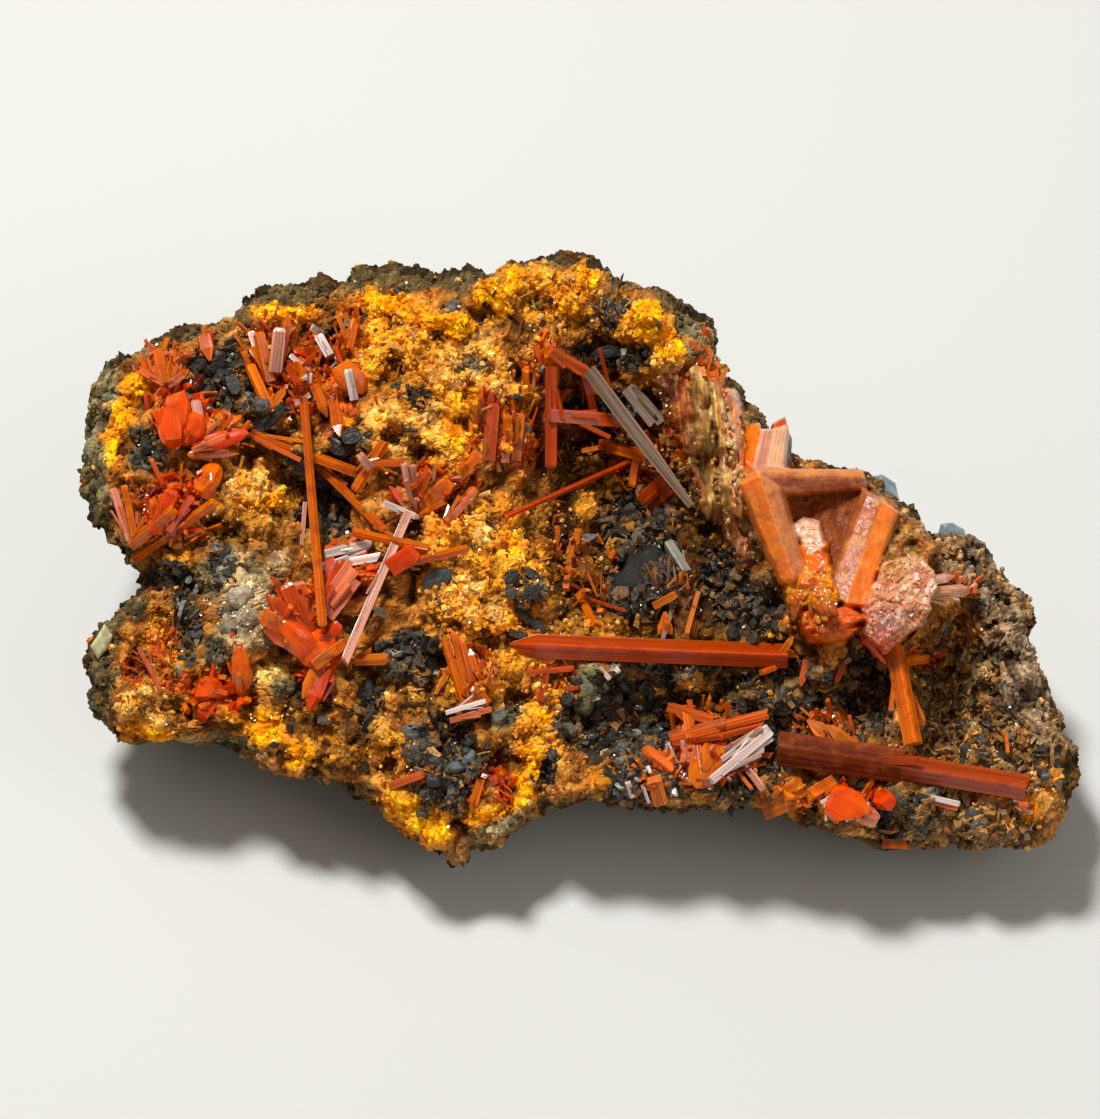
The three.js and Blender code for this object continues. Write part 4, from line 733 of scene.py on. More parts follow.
# Crystals by piece. A row is one prism: from and to in the viewed plane, the height of its axis over the
# rock at each, its width, its thickness, the turn of its section in degrees, its far end, and its tint.
crystals = {
    "long_prism": [
        (78.7, 65.6, 51, 64.5, 2.2, 1.8, 2.6, 2.5, 52, "point", "deep"),
    ],
    "lower_prism": [
        (77.6, 74.6, 90, 76.4, 1.4, 1.9, 3.6, 2.8, 40, "flat", "dusk"),
        (86, 75.9, 102.2, 78.5, 1.8, 1.6, 2.7, 2.5, 40, "flat", "ember"),
        (85, 75.4, 80.6, 71.9, 1.6, 1.8, 1.5, 1, 0, "point", "amber"),
        (86, 75.2, 82.4, 72.4, 1.9, 2.2, 1.3, 1, 0, "point", "amber"),
        (101.4, 78.3, 102, 80.6, 1.2, 0.6, 1, 0.9, 0, "blunt", "salmon"),
    ],
    "box_cluster": [
        (92, 59.4, 97.4, 58.9, 2.2, 0.8, 1.3, 1.2, 20, "point", "frosted"),
        (91.6, 58.4, 95.4, 57.6, 1.8, 0.8, 1, 0.9, 0, "point", "lilac"),
        (89.2, 64.6, 91, 74.3, 1.9, 3.4, 2, 1.8, 25, "flat", "orange"),
        (88.6, 66.3, 92.9, 65.8, 2.2, 1.6, 1.2, 1.1, 20, "blunt", "orange"),
        (86.2, 63.6, 89.6, 66.2, 2, 2.3, 1.3, 1.2, 20, "blunt", "red"),
        (91, 69.6, 92.3, 72.6, 2.9, 2, 0.8, 0.7, 0, "point", "orange"),
    ],
    "upright_prism": [(30.2, 39.7, 32.4, 62.6, 1.3, 4.2, 0.95, 0.9, 30, "blunt", "orange")],
    "cross_prisms": [
        (24.9, 43.2, 35.5, 47.2, 0.9, 1.3, 1.15, 1, 20, "blunt", "orange"),
        (24.4, 43.3, 30, 46, 0.7, 1.3, 0.5, 0.5, 0, "flat", "salmon"),
    ],
    "slant_prism": [(31.6, 46.4, 38.5, 53.1, -0.4, 1.6, 0.95, 0.9, 25, "blunt", "orange")],
    "crossed_pair": [
        (36.4, 46.3, 40.3, 46.3, 2.6, 1, 0.8, 0.8, 15, "blunt", "orange"),
        (38.4, 44.1, 35.4, 49.1, 1.6, 3.4, 1.2, 1, 30, "blunt", "orange"),
        (36.9, 46.7, 36, 45.5, 2.8, 3.2, 0.9, 0.9, 0, "blunt", "lilac"),
    ],
    "mid_cluster": [
        (41.5, 51, 40.7, 46.2, 0.4, 2, 1.3, 1, 20, "slant", "lilac"),
        (41.4, 51, 42.9, 46.9, 0.4, 1.8, 1, 0.9, 40, "slant", "salmon"),
        (41.6, 51.4, 44.9, 48.2, 0.2, 1.2, 1.7, 1, 0, "blunt", "orange"),
        (41.2, 51.4, 38.9, 48.6, 0.3, 1.2, 1.2, 0.9, 20, "point", "red"),
    ],
    "amber_blade_upper": [(45.6, 47.9, 47.9, 45.2, 0.4, 1.2, 1.3, 1, 20, "blunt", "orange")],
    "amber_blade_lower": [(44.6, 52.2, 47.5, 48.8, 0.5, 1.7, 1.1, 0.9, 20, "blunt", "orange")],
    "slope_bundle": [
        (48.8, 46, 49.3, 40.2, 0.3, 0.9, 1.5, 1.2, 10, "blunt", "deep"),
        (50.3, 46.2, 50.5, 40.4, 0.4, 1.2, 1.3, 1.2, 30, "point", "orange"),
        (51.5, 46, 51.9, 41.2, 0.3, 1, 1.2, 1.1, 10, "blunt", "orange"),
    ],
    "pocket_frame": [
        (55, 34.9, 58.9, 37.1, 1.6, 2.2, 1.3, 1, 10, "blunt", "salmon"),
        (55.1, 36.4, 55.1, 46.7, 1, 3.4, 1.2, 1, 0, "blunt", "deep"),
        (54.9, 41.4, 62.6, 41.9, 3.1, 4.2, 1.4, 1.1, 0, "blunt", "deep"),
        (58.4, 36.8, 59.7, 41.8, 2, 3.7, 0.8, 0.8, 0, "flat", "deep"),
        (55.2, 35.2, 55.1, 38, 0.9, 1.6, 1.6, 1.2, 0, "flat", "orange"),
        (54.8, 37.4, 53.5, 34.4, 1.4, 1.6, 1.1, 0.9, 20, "point", "salmon"),
        (55.2, 36.8, 54.6, 33.6, 1.2, 1.4, 0.8, 0.8, 20, "point", "orange"),
    ],
    "weathered_prism": [(59, 36.9, 69.2, 50.6, 3.2, 1.1, 1.5, 1.2, 40, "long", "weathered")],
    "grey_blade": [(62.9, 38.5, 66.1, 42.5, 1.2, 1.6, 1.5, 0.8, 10, "slant", "weathered")],
    "slender_prism": [
        (63.4, 45.9, 50.5, 51.7, 2.6, 0.8, 0.62, 0.6, 40, "blunt", "deep"),
        (60.2, 44.2, 64.9, 45.6, 2, 2.6, 1.3, 1.2, 15, "blunt", "orange"),
        (64, 45, 63.4, 48.6, 2.3, 1.6, 1.1, 1, 25, "blunt", "orange"),
        (60.8, 44.4, 58.2, 44.9, 2, 1.4, 0.5, 0.5, 0, "blunt", "orange"),
    ],
    "red_plate": [(64.6, 50.4, 67.2, 47.9, 0.8, 1.4, 2.2, 0.9, 0, "slant", "deep")],
    "centre_spray": [
        (42.9, 54.9, 35.3, 53.2, 1.4, 2.8, 1, 0.9, 50, "blunt", "orange"),
        (39.8, 56.6, 46.9, 54.8, 1.4, 1.8, 0.9, 0.9, 30, "blunt", "orange"),
        (39.1, 56.8, 41.7, 55, 0.9, 1.4, 1.9, 1.6, 0, "blunt", "red"),
        (40.8, 51.3, 34.6, 66.1, 2.2, 3.4, 0.9, 0.9, 0, "slant", "lilac"),
        (38.4, 50.3, 41.9, 51.8, 2.4, 1.6, 0.7, 0.6, 0, "point", "glint"),
    ],
    "glassy_sheaf": [
        (32.4, 55.4, 37.1, 54.3, 0.8, 1.1, 0.9, 0.8, 0, "slant", "glint"),
        (32, 56.7, 37.9, 55.7, 0.8, 1, 0.9, 0.8, 0, "slant", "glint"),
        (32.6, 57.9, 34.6, 56.1, 1.1, 1.4, 0.7, 0.6, 0, "blunt", "red"),
        (32.3, 61.4, 35.5, 56.9, 0.6, 1.3, 2.3, 1.1, 0, "slant", "pinkish"),
        (32.2, 60.4, 33.9, 56.4, 0.6, 1, 1.2, 1, 10, "flat", "red"),
        (33, 58.6, 32.9, 54.6, 0.4, 0.6, 1, 0.8, 0, "flat", "red"),
    ],
    "red_fan": [
        (31.6, 65.4, 26.6, 63, 0.8, 1.4, 1.6, 0.9, 0, "point", "deep"),
        (31.6, 65.2, 26.4, 61.4, 1, 1.9, 1.7, 1, 0, "blunt", "orange"),
        (31.8, 65, 27.4, 60, 1.1, 2, 1.6, 1, 10, "blunt", "deep"),
        (31.6, 64.6, 28.6, 58.4, 0.9, 1.6, 1.6, 1, 0, "blunt", "deep"),
        (31.4, 64, 29.8, 58.2, 0.6, 1.2, 1.5, 1, 0, "blunt", "salmon"),
        (31.2, 65.8, 28.6, 62.6, 1.6, 2.2, 2.2, 1.2, 0, "lump", "blobRed"),
        (30.8, 66, 32.6, 63.2, 1.8, 2.2, 2.4, 1.4, 0, "lump", "blobRed"),
        (33.6, 64.8, 30.9, 71, 1.6, 1.4, 1.6, 1.3, 20, "point", "red"),
        (32.6, 65, 30.4, 69.8, 1.7, 1.5, 1.3, 1.1, 0, "point", "orange"),
        (31.2, 65, 31.8, 69.6, 1.2, 1.4, 1.5, 1.2, 0, "point", "red"),
        (30.4, 66.4, 34, 62.3, 1.4, 2.6, 1.2, 1.1, 20, "blunt", "red"),
        (31.4, 66.6, 34.6, 64.2, 1.4, 2, 1.1, 1, 0, "blunt", "orange"),
        (27.8, 63.8, 26.3, 61.4, 1.2, 1.7, 1, 0.9, 0, "blunt", "pinkish"),
    ],
    "amber_stub": [(35.6, 66, 38.9, 65.8, 0.7, 0.9, 1.2, 1.1, 30, "blunt", "amber")],
    "orange_sheaf": [
        (46.6, 70.8, 44.4, 63.6, 0.7, 1.5, 0.9, 0.9, 25, "point", "orange"),
        (47.2, 70.9, 45.4, 63.2, 0.9, 1.9, 0.9, 0.9, 10, "blunt", "orange"),
        (47.8, 70.6, 46.2, 64.2, 0.8, 1.5, 0.8, 0.9, 25, "blunt", "salmon"),
        (48.6, 70.6, 47, 64.8, 0.6, 1.3, 0.7, 0.8, 0, "point", "orange"),
        (49, 70.2, 45.6, 66, 0.8, 1.6, 0.6, 0.6, 0, "blunt", "orange"),
        (46.4, 69.6, 48.4, 66, 0.8, 1.4, 0.6, 0.6, 0, "blunt", "deep"),
        (45, 72, 49.2, 70.8, 1.3, 1.4, 0.6, 0.7, 0, "blunt", "pinkish"),
        (44.6, 71.2, 48.6, 70, 1.1, 1.4, 0.5, 0.6, 0, "blunt", "glint"),
    ],
    "left_cluster": [
        (17.3, 44.7, 16.8, 40.4, 0.8, 2.4, 2.1, 2.2, 25, "lump", "blobRed"),
        (17.9, 42.6, 17.5, 39, 1.6, 2.9, 1.7, 1.9, 25, "lump", "blobRed"),
        (18.6, 44.4, 19.6, 41.4, 0.9, 2.4, 1.7, 1.8, 25, "lump", "blobRed"),
        (18.9, 44.2, 23.6, 41.7, 0.9, 2, 1.5, 0.9, 20, "lump", "blobOrange"),
        (19, 44.8, 24.1, 43.2, 0.7, 1.7, 1.4, 0.8, 0, "lump", "red"),
        (19.2, 45.4, 23.2, 45.2, 0.5, 1.2, 1.2, 0.8, 0, "lump", "orange"),
        (20, 42.9, 19.4, 40, 0.8, 2, 1, 1, 0, "blunt", "lilac"),
        (19.9, 43.4, 20.2, 40.6, 0.4, 1.2, 1.3, 1.2, 15, "point", "red"),
        (19.4, 44.4, 23, 41.4, 1.5, 2.4, 0.7, 0.6, 0, "blunt", "pinkish"),
        (19.2, 45, 22.6, 43.6, 1.6, 2.2, 0.6, 0.5, 0, "slant", "pinkish"),
    ],
    "left_blob": [(20.3, 49.8, 21.3, 46.8, 0.4, 0.9, 2, 1.5, 0, "lump", "blobOrange")],
    "lower_left_spray": [
        (13.2, 55.9, 21.6, 50.2, 1.7, 2.3, 1.1, 1.1, 30, "blunt", "orange"),
        (13, 54.5, 17.5, 51, 1, 1.4, 1.4, 1.2, 20, "blunt", "orange"),
        (16.8, 53.2, 19.2, 49.6, 1.2, 1.8, 0.8, 0.8, 20, "blunt", "red"),
        (12.9, 54, 11.2, 48.8, 0.8, 1.7, 0.9, 0.9, 20, "blunt", "pinkish"),
        (13.5, 54, 12.3, 48.5, 0.9, 1.5, 0.7, 0.8, 0, "blunt", "orange"),
        (15.4, 53.2, 17.3, 49, 0.6, 1.8, 1.5, 1.3, 0, "blunt", "red"),
    ],
    "top_left_cluster": [
        (16.2, 38.3, 13.7, 36.9, 0.5, 1.4, 0.9, 0.9, 10, "blunt", "salmon"),
        (16.3, 38.4, 15.3, 34.9, 0.5, 1.8, 1.3, 1.1, 20, "blunt", "orange"),
        (16.9, 38.2, 16.8, 34.9, 0.4, 1.5, 0.9, 0.9, 20, "blunt", "salmon"),
        (16.4, 38.4, 18.6, 36.8, 0.4, 1, 1, 0.9, 10, "point", "orange"),
    ],
    "brown_wedge": [(20.1, 33.4, 20.7, 35.9, 0.6, 0.8, 1.3, 0.9, 0, "point", "salmon")],
    "dark_cubes": [(19, 38.9, 19.9, 37.4, 0.3, 0.9, 1.1, 1.1, 45, "blunt", "dark")],
    "top_cluster": [
        (26.7, 38, 25.6, 33, 0.6, 2, 1.3, 1.2, 20, "blunt", "orange"),
        (27.3, 37, 27.8, 32.6, 0.8, 2.2, 1.3, 1.2, 0, "blunt", "lilac"),
        (27.6, 36.4, 28.6, 31.2, 0.6, 1.6, 1.1, 1, 20, "point", "orange"),
        (26.2, 36.8, 24.8, 32.9, 0.5, 1.2, 0.8, 0.8, 0, "blunt", "glint"),
    ],
    "top_cluster_low": [
        (26.9, 41, 24.7, 36.4, 0.5, 1.2, 1.2, 1.1, 20, "blunt", "orange"),
        (27, 40.8, 28.3, 38.6, 0.4, 0.9, 0.9, 0.9, 20, "point", "amber"),
    ],
    "white_rod": [(30.6, 37, 28.8, 35.3, 0.2, 1.3, 0.55, 0.5, 0, "blunt", "glint")],
    "striated_block": [(32.8, 35.4, 31.6, 33.3, 0.6, 1.2, 1, 0.9, 0, "blunt", "glint")],
    "amber_slab_left": [(31.3, 38.3, 32.6, 41.6, 0.4, 0.7, 1.2, 1, 10, "point", "orange")],
    "amber_slab_right": [(33.2, 39.9, 33.9, 43.6, 0.5, 0.7, 1.2, 1, 10, "point", "orange")],
    "upper_prism": [
        (34.7, 34.8, 35.3, 31.7, 0.5, 1.3, 1, 1, 20, "blunt", "orange"),
        (34.6, 34, 33.6, 31.3, 0.4, 0.9, 0.5, 0.6, 0, "blunt", "amber"),
    ],
    "right_block": [
        (35.3, 39.8, 34.7, 36.8, 0.9, 1.4, 0.9, 0.8, 0, "blunt", "glint"),
        (35.9, 38.9, 33.9, 36.1, 0.5, 0.9, 2, 1.2, 0, "lump", "orange"),
    ],
    "front_sheaf": [
        (69.4, 78.3, 72.6, 74.4, 0.9, 1.6, 3, 1.6, 0, "lump", "orange"),
        (70.2, 78, 70.8, 74, 1.2, 1.8, 1.6, 1, 0, "point", "orange"),
        (67.2, 74.2, 76.8, 71.7, 1.6, 3, 1.5, 1.2, 20, "slant", "salmon"),
        (67, 73.4, 72.4, 72, 1.8, 2.6, 0.7, 0.8, 0, "blunt", "pinkish"),
        (70.9, 77.8, 76.9, 73, 1.9, 2.8, 0.9, 0.8, 0, "blunt", "glint"),
        (71.6, 77.2, 77, 73.6, 1.7, 2.4, 0.7, 0.8, 0, "blunt", "glint"),
        (72, 75.8, 76.6, 72.5, 2.1, 2.9, 0.6, 0.7, 0, "blunt", "glint"),
        (72.2, 74.9, 76, 72.6, 2.2, 2.8, 0.5, 0.7, 0, "blunt", "lilac"),
        (68.9, 76.4, 69.2, 72.8, 1.2, 2, 1.8, 1.2, 0, "slant", "salmon"),
        (73.6, 75.4, 76, 78.6, 2, 1.6, 0.7, 0.7, 0, "blunt", "lilac"),
        (67, 70.7, 71.4, 72, 1.4, 2, 1.1, 1, 10, "blunt", "salmon"),
        (69, 74, 68.6, 70.8, 1.6, 1.6, 0.9, 0.9, 0, "flat", "salmon"),
    ],
    "salmon_rubble": [(64.3, 74.9, 66.7, 76.7, 0.6, 0.8, 1.6, 1.3, 0, "lump", "salmon")],
    "amber_plate": [(65.3, 77.7, 66, 80.2, 0.9, 0.7, 1.5, 0.9, 0, "blunt", "amber")],
    "front_cluster": [
        (83, 78, 80.7, 79.2, 0.8, 1.4, 1.4, 1.2, 10, "blunt", "orange"),
        (82.2, 79.4, 86, 81.2, 0.7, 1.2, 2.6, 1.9, 20, "lump", "blobRed"),
        (85.4, 80.8, 87.3, 81.7, 1, 1.4, 2, 1.5, 10, "blunt", "pinkish"),
        (81.9, 79.9, 84, 78.8, 1.5, 1.7, 0.4, 0.5, 0, "blunt", "glint"),
    ],
    "knob": [(87.6, 79.4, 88.5, 80.2, 0.2, 1.6, 1.5, 1.4, 22, "lump", "red")],
    "amber_block": [(76.3, 80.6, 79.9, 78.9, 0.6, 0.9, 2.2, 1.4, 0, "slant", "amber")],
    "ridge_blades": [
        (71.4, 39.2, 71.3, 36.2, 0.3, 0.9, 1.2, 1, 0, "blunt", "orange"),
        (72.3, 40.4, 72.1, 37.5, 0.3, 0.9, 0.9, 0.9, 0, "blunt", "orange"),
        (71.6, 39.6, 72.4, 39.8, 0.3, 0.3, 1.4, 1, 0, "flat", "orange"),
    ],
    "red_chunks": [
        (19.8, 68.8, 22.7, 69.2, 0.7, 0.8, 1.9, 1.4, 0, "lump", "blobRed"),
        (20.2, 71.6, 21.7, 69.4, 0.5, 0.7, 1.4, 1.1, 0, "point", "red"),
        (24.2, 69.2, 24, 65.2, 0.7, 1.5, 1.7, 1.4, 20, "lump", "blobOrange"),
        (22, 69.3, 24.4, 68.3, 0.6, 0.9, 1.1, 1, 0, "flat", "red"),
    ],
    "thin_blade": [(57.3, 54.2, 56.6, 59, 0.9, 1, 0.8, 0.8, 10, "blunt", "amber")],
    "slim_prism": [(57.9, 59.4, 59.6, 62.6, 0.5, 0.8, 0.9, 0.8, 20, "flat", "orange")],
    "spike": [(66.5, 63.3, 66.5, 61.2, 0.7, 1.4, 1.6, 1.3, 0, "point", "orange")],
    "grey_crystal": [(68.7, 57.3, 66.8, 54.2, 0.5, 1, 1.2, 1, 20, "blunt", "grey")],
    "under_prisms": [
        (52.7, 67.2, 57.4, 66.8, 0.5, 0.7, 0.6, 0.6, 0, "blunt", "deep"),
        (54.7, 66.8, 54, 70.1, 0.5, 0.5, 0.7, 0.7, 0, "flat", "deep"),
    ],
    "red_pair": [
        (47.7, 78.6, 50.5, 77.2, 0.5, 0.8, 1.2, 1, 20, "blunt", "red"),
        (48.1, 77.8, 47.2, 80.9, 0.5, 0.7, 0.9, 0.9, 0, "point", "orange"),
    ],
}

# Colours by finish, then each name with its colour and the number of its finish.
finishes = {
    "glassy": {"deep": 0xCC4A06, "orange": 0xFA7806, "red": 0xFC4A02, "ember": 0xB4440A, "dark": 0x5A2018,
               "gold": 0xE8901C},
    "lacquered": {"blobRed": 0xFF5800, "blobOrange": 0xFA7004},
    "dusty": {"amber": 0xD87418, "salmon": 0xDC6422, "dusk": 0x7A3210, "smoky": 0x844420, "crust": 0x8E6632,
              "ochreLath": 0xC88428, "brownLath": 0x7A4014, "creamLath": 0xDCB070},
    # the silvery colours are paler than the crystal's own, glint nearly white: partly painted reflection
    "silvery": {"pinkish": 0xE4743C, "lilac": 0xD49478, "glint": 0xF4E4DC},
    "frosted": {"frosted": 0xCC8C64, "pearl": 0xDCA47A},
    "resinous": {"frameOrange": 0xF07C1C, "peach": 0xD07C46, "rosy": 0xAC5C34},
    "weathered": {"weathered": 0x86705E, "grey": 0x7A7A68},
}
tints = {
    name: (linear(colour), crystalKinds.index(kind))
    for kind, named in finishes.items() for name, colour in named.items()
}
# How far back a far end begins to narrow, in widths, and how wide it ends.
tips = {
    "flat": (0.0, 1.0), "slant": (0.0, 1.0), "blunt": (0.25, 0.72), "point": (1.0, 0.22), "long": (5.0, 0.5),
}


# The two ends of a row's axis.
def endsOf(row):
    return [place(a, d, faceDepth(a, d) + lift + 0.3 * row[7])
            for a, d, lift in ((row[0], row[1], row[4]), (row[2], row[3], row[5]))]


# A crystal's length, and the directions along it, across it and out of the rock.
def axesOf(start, finish):
    length = np.linalg.norm(finish - start)
    axis = (finish - start) / length
    side = np.cross(outDir, axis)
    side = side / max(np.linalg.norm(side), 1e-6)
    return length, axis, side, np.cross(axis, side)


# One prism. The section is a square turned about the axis, each side broken into narrow bands that stand
# in a little by different amounts, and the bands change partway along. It is drawn along the axis and
# drawn in at the far end.
def prism(start, finish, width, thick, turn, end, tint, rng):
    length, axis, side, front = axesOf(start, finish)
    angles = np.radians(turn + 45 + 90 * np.arange(4))
    corners = np.stack([np.cos(angles), np.sin(angles)], axis=1)
    corners = corners / np.abs(corners).max(axis=0) * (width / 2, thick / 2)
    bands = int(np.clip(round(width / 0.27), 2, 9))
    section, groove = [], []
    for a, b in zip(corners, np.roll(corners, -1, axis=0)):
        cuts = np.sort(np.concatenate([[0.04, 0.96], rng.uniform(0.1, 0.9, bands - 1)]))
        section.append(a + (b - a) * np.repeat(cuts, 2)[1:-1, None])
        groove.append(np.tile(unit(np.array([a[1] - b[1], b[0] - a[0]])), (2 * bands, 1)))
    section, groove = np.concatenate(section), np.concatenate(groove)
    following = np.roll(section, -1, axis=0)
    total = len(section)
    bandOf = np.arange(total) // 2
    tipBack, tipScale = tips[end]
    rings = int(np.clip(round(length / 0.9), 3, 26))
    z = np.linspace(0, length - min(tipBack * width, 0.8 * length), rings)
    scale = 1 + 0.004 * rng.standard_normal(rings)
    if tipBack > 0:
        z, scale = np.append(z, length), np.append(scale, tipScale)
    depths = rng.uniform(0, 0.035 * min(width, thick) + 0.015, (4 * bands, 2))
    change = rng.uniform(0.1, 1.3, 4 * bands) * length
    depth = np.where(z[:, None] < change, depths[:, 0], depths[:, 1])[:, bandOf]
    flat = section * scale[:, None, None] + groove * depth[..., None]
    heights = np.repeat(z[:, None], total, axis=1)
    if tipBack == 0:
        shear = 0.6 if end == "slant" else 0.0
        heights[-1] += shear * section[:, 0] + rng.uniform(-0.14, 0.0, 4 * bands)[bandOf] * min(width, 1.2)
    points = start + flat[..., :1] * side + flat[..., 1:] * front + heights[..., None] * axis
    caps = [points[0].mean(axis=0), points[-1].mean(axis=0) - axis * 0.05 * width]
    index = np.arange(heights.size).reshape(heights.shape)
    tris = [fan(index[0], index.size)[:, [1, 0, 2]], fan(index[-1], index.size + 1)]
    girth = np.append(0, np.cumsum(np.linalg.norm(following - section, axis=1)))
    grid = np.stack(np.meshgrid(girth, z), axis=-1).reshape(-1, 2)
    uv = grid[gridQuads(np.arange(len(grid)).reshape(len(z), -1), flip=True)].reshape(-1, 2)
    shiftUv = rng.uniform(0, 90)
    capUv = np.concatenate([following, section, section * 0], axis=1).reshape(-1, 2)
    # painted light: the thin edges and the tip are painted brighter, as light gets through them, and the
    # faces turned to the main light darker, those turned from it brighter
    edgeward = np.abs(np.linspace(0, 4, total, endpoint=False) % 1 - 0.5) * 2
    facing = -(groove[:, :1] * side + groove[:, 1:] * front) @ unit(keyPlace)
    light = (0.82 + 0.5 * edgeward ** 3) * (0.88 + 0.24 * z[:, None] / length) * (1 - 0.24 * facing)
    light = np.append(light, [0.8, 0.95])
    colour, kind = tints[tint]
    return {
        "points": np.concatenate([points.reshape(-1, 3), caps]), "quads": gridQuads(index, True, True),
        "tris": np.concatenate(tris), "uv": uv + shiftUv, "triUv": np.concatenate([capUv, capUv]) + shiftUv,
        "tint": colour * rng.uniform(0.85, 1.15) * light[:, None], "kind": kind,
    }


# A crystal without clean faces, as where it is etched or rounded: a ball of the row's size, cut by flats.
def lump(start, finish, width, thick, turn, end, tint, rng):
    ball, faces = fineBall
    whole = ball * 2
    for _ in range(16):
        flat = unit(rng.standard_normal(3))
        whole = whole - np.maximum(whole @ flat - rng.uniform(0.6, 0.92), 0)[:, None] * flat
    whole = whole * (1 + 0.05 * noise(ball + rng.uniform(0, 90, 3), 0.4, 5))[:, None]
    length, axis, side, front = axesOf(start, finish)
    local = whole * (0.74 * width, 0.74 * thick, 0.66 * length)
    # painted light: brighter towards its far end, with a little random mottling
    light = 0.95 + 0.2 * whole[:, 2] + 0.12 * noise(ball + rng.uniform(0, 90, 3), 0.5, 8)
    colour, kind = tints[tint]
    return {
        "points": (start + finish) / 2 + local @ np.stack([side, front, axis]),
        "quads": np.zeros((0, 4), int), "tris": faces, "uv": np.zeros((0, 2)),
        "triUv": local[faces.ravel()][:, [0, 2]] * 0.3 + rng.uniform(0, 90),
        "tint": colour * light[:, None], "kind": kind,
    }


# Many parts as one mesh: the quads of all of them, then the triangles.
def joined(parts):
    start = np.cumsum([0] + [len(p["points"]) for p in parts])
    made = {key: np.concatenate([p[key] for p in parts]) for key in ("points", "tint", "uv", "triUv")}
    return {
        "points": made["points"], "tint": made["tint"], "uv": np.concatenate([made["uv"], made["triUv"]]),
        "faces": [np.concatenate([p[key] + s for p, s in zip(parts, start)]) for key in ("quads", "tris")],
        "material": np.concatenate(
            [np.full(len(p["quads"]), p["kind"]) for p in parts]
            + [np.full(len(p["tris"]), p["kind"]) for p in parts if len(p["tris"])]),
    }


# A blade as parallel laths side by side, each a little shorter or longer and a little higher or lower.
def laths(start, finish, width, thick, turn, end, tint, rng):
    length, axis, side, front = axesOf(start, finish)
    count = max(2, round(width / growth["lathWidth"]))
    parts = []
    for k in range(count):
        across = (k + 0.5) / count - 0.5
        foot = start + (side * across * width + front * rng.uniform(-0.1, 0.1) * thick)
        reach = length * rng.uniform(0.93, 1.0) + 0.6 * across * width
        parts.append(prism(
            foot, foot + side * across * 0.04 * length + axis * reach, width / count * rng.uniform(1.15, 1.5),
            thick * rng.uniform(0.7, 1.0), turn + rng.uniform(-8, 8), "flat", tint, rng))
    return parts


# Short prisms that grow beside a crystal, from near its foot.
def sideGrowth(count, start, finish, width, thick, turn, end, tint, rng):
    length, axis, _, _ = axesOf(start, finish)
    parts = []
    for _ in range(count):
        away = rng.standard_normal(3)
        away = unit(away - axis * (away @ axis))
        foot = start + axis * rng.uniform(0, 0.35) * length + away * 0.32 * width
        aim = unit(axis + away * rng.uniform(0.0, 0.45))
        size = width * rng.uniform(0.22, 0.42)
        reach = min(length * rng.uniform(0.25, 0.6), 4.0)
        parts.append(prism(
            foot, foot + aim * reach, size, size * rng.uniform(0.6, 1.0),
            rng.uniform(0, 90), rng.choice(["flat", "slant", "blunt"]), tint, rng))
    return parts


growth = {
    "lathWidth": 0.8,           # a slanted blade is split into laths about this wide, mm
    "plain": {"long_prism", "upright_prism", "slender_prism", "weathered_prism", "white_rod"},
    "few": {"lower_prism", "cross_prisms", "slant_prism"},
    "weathered": {"weathered_prism", "grey_blade", "grey_crystal", "wall_slabs"},
}


def cameled(name):
    first, *rest = name.split("_")
    return first + "".join(word.capitalize() for word in rest)


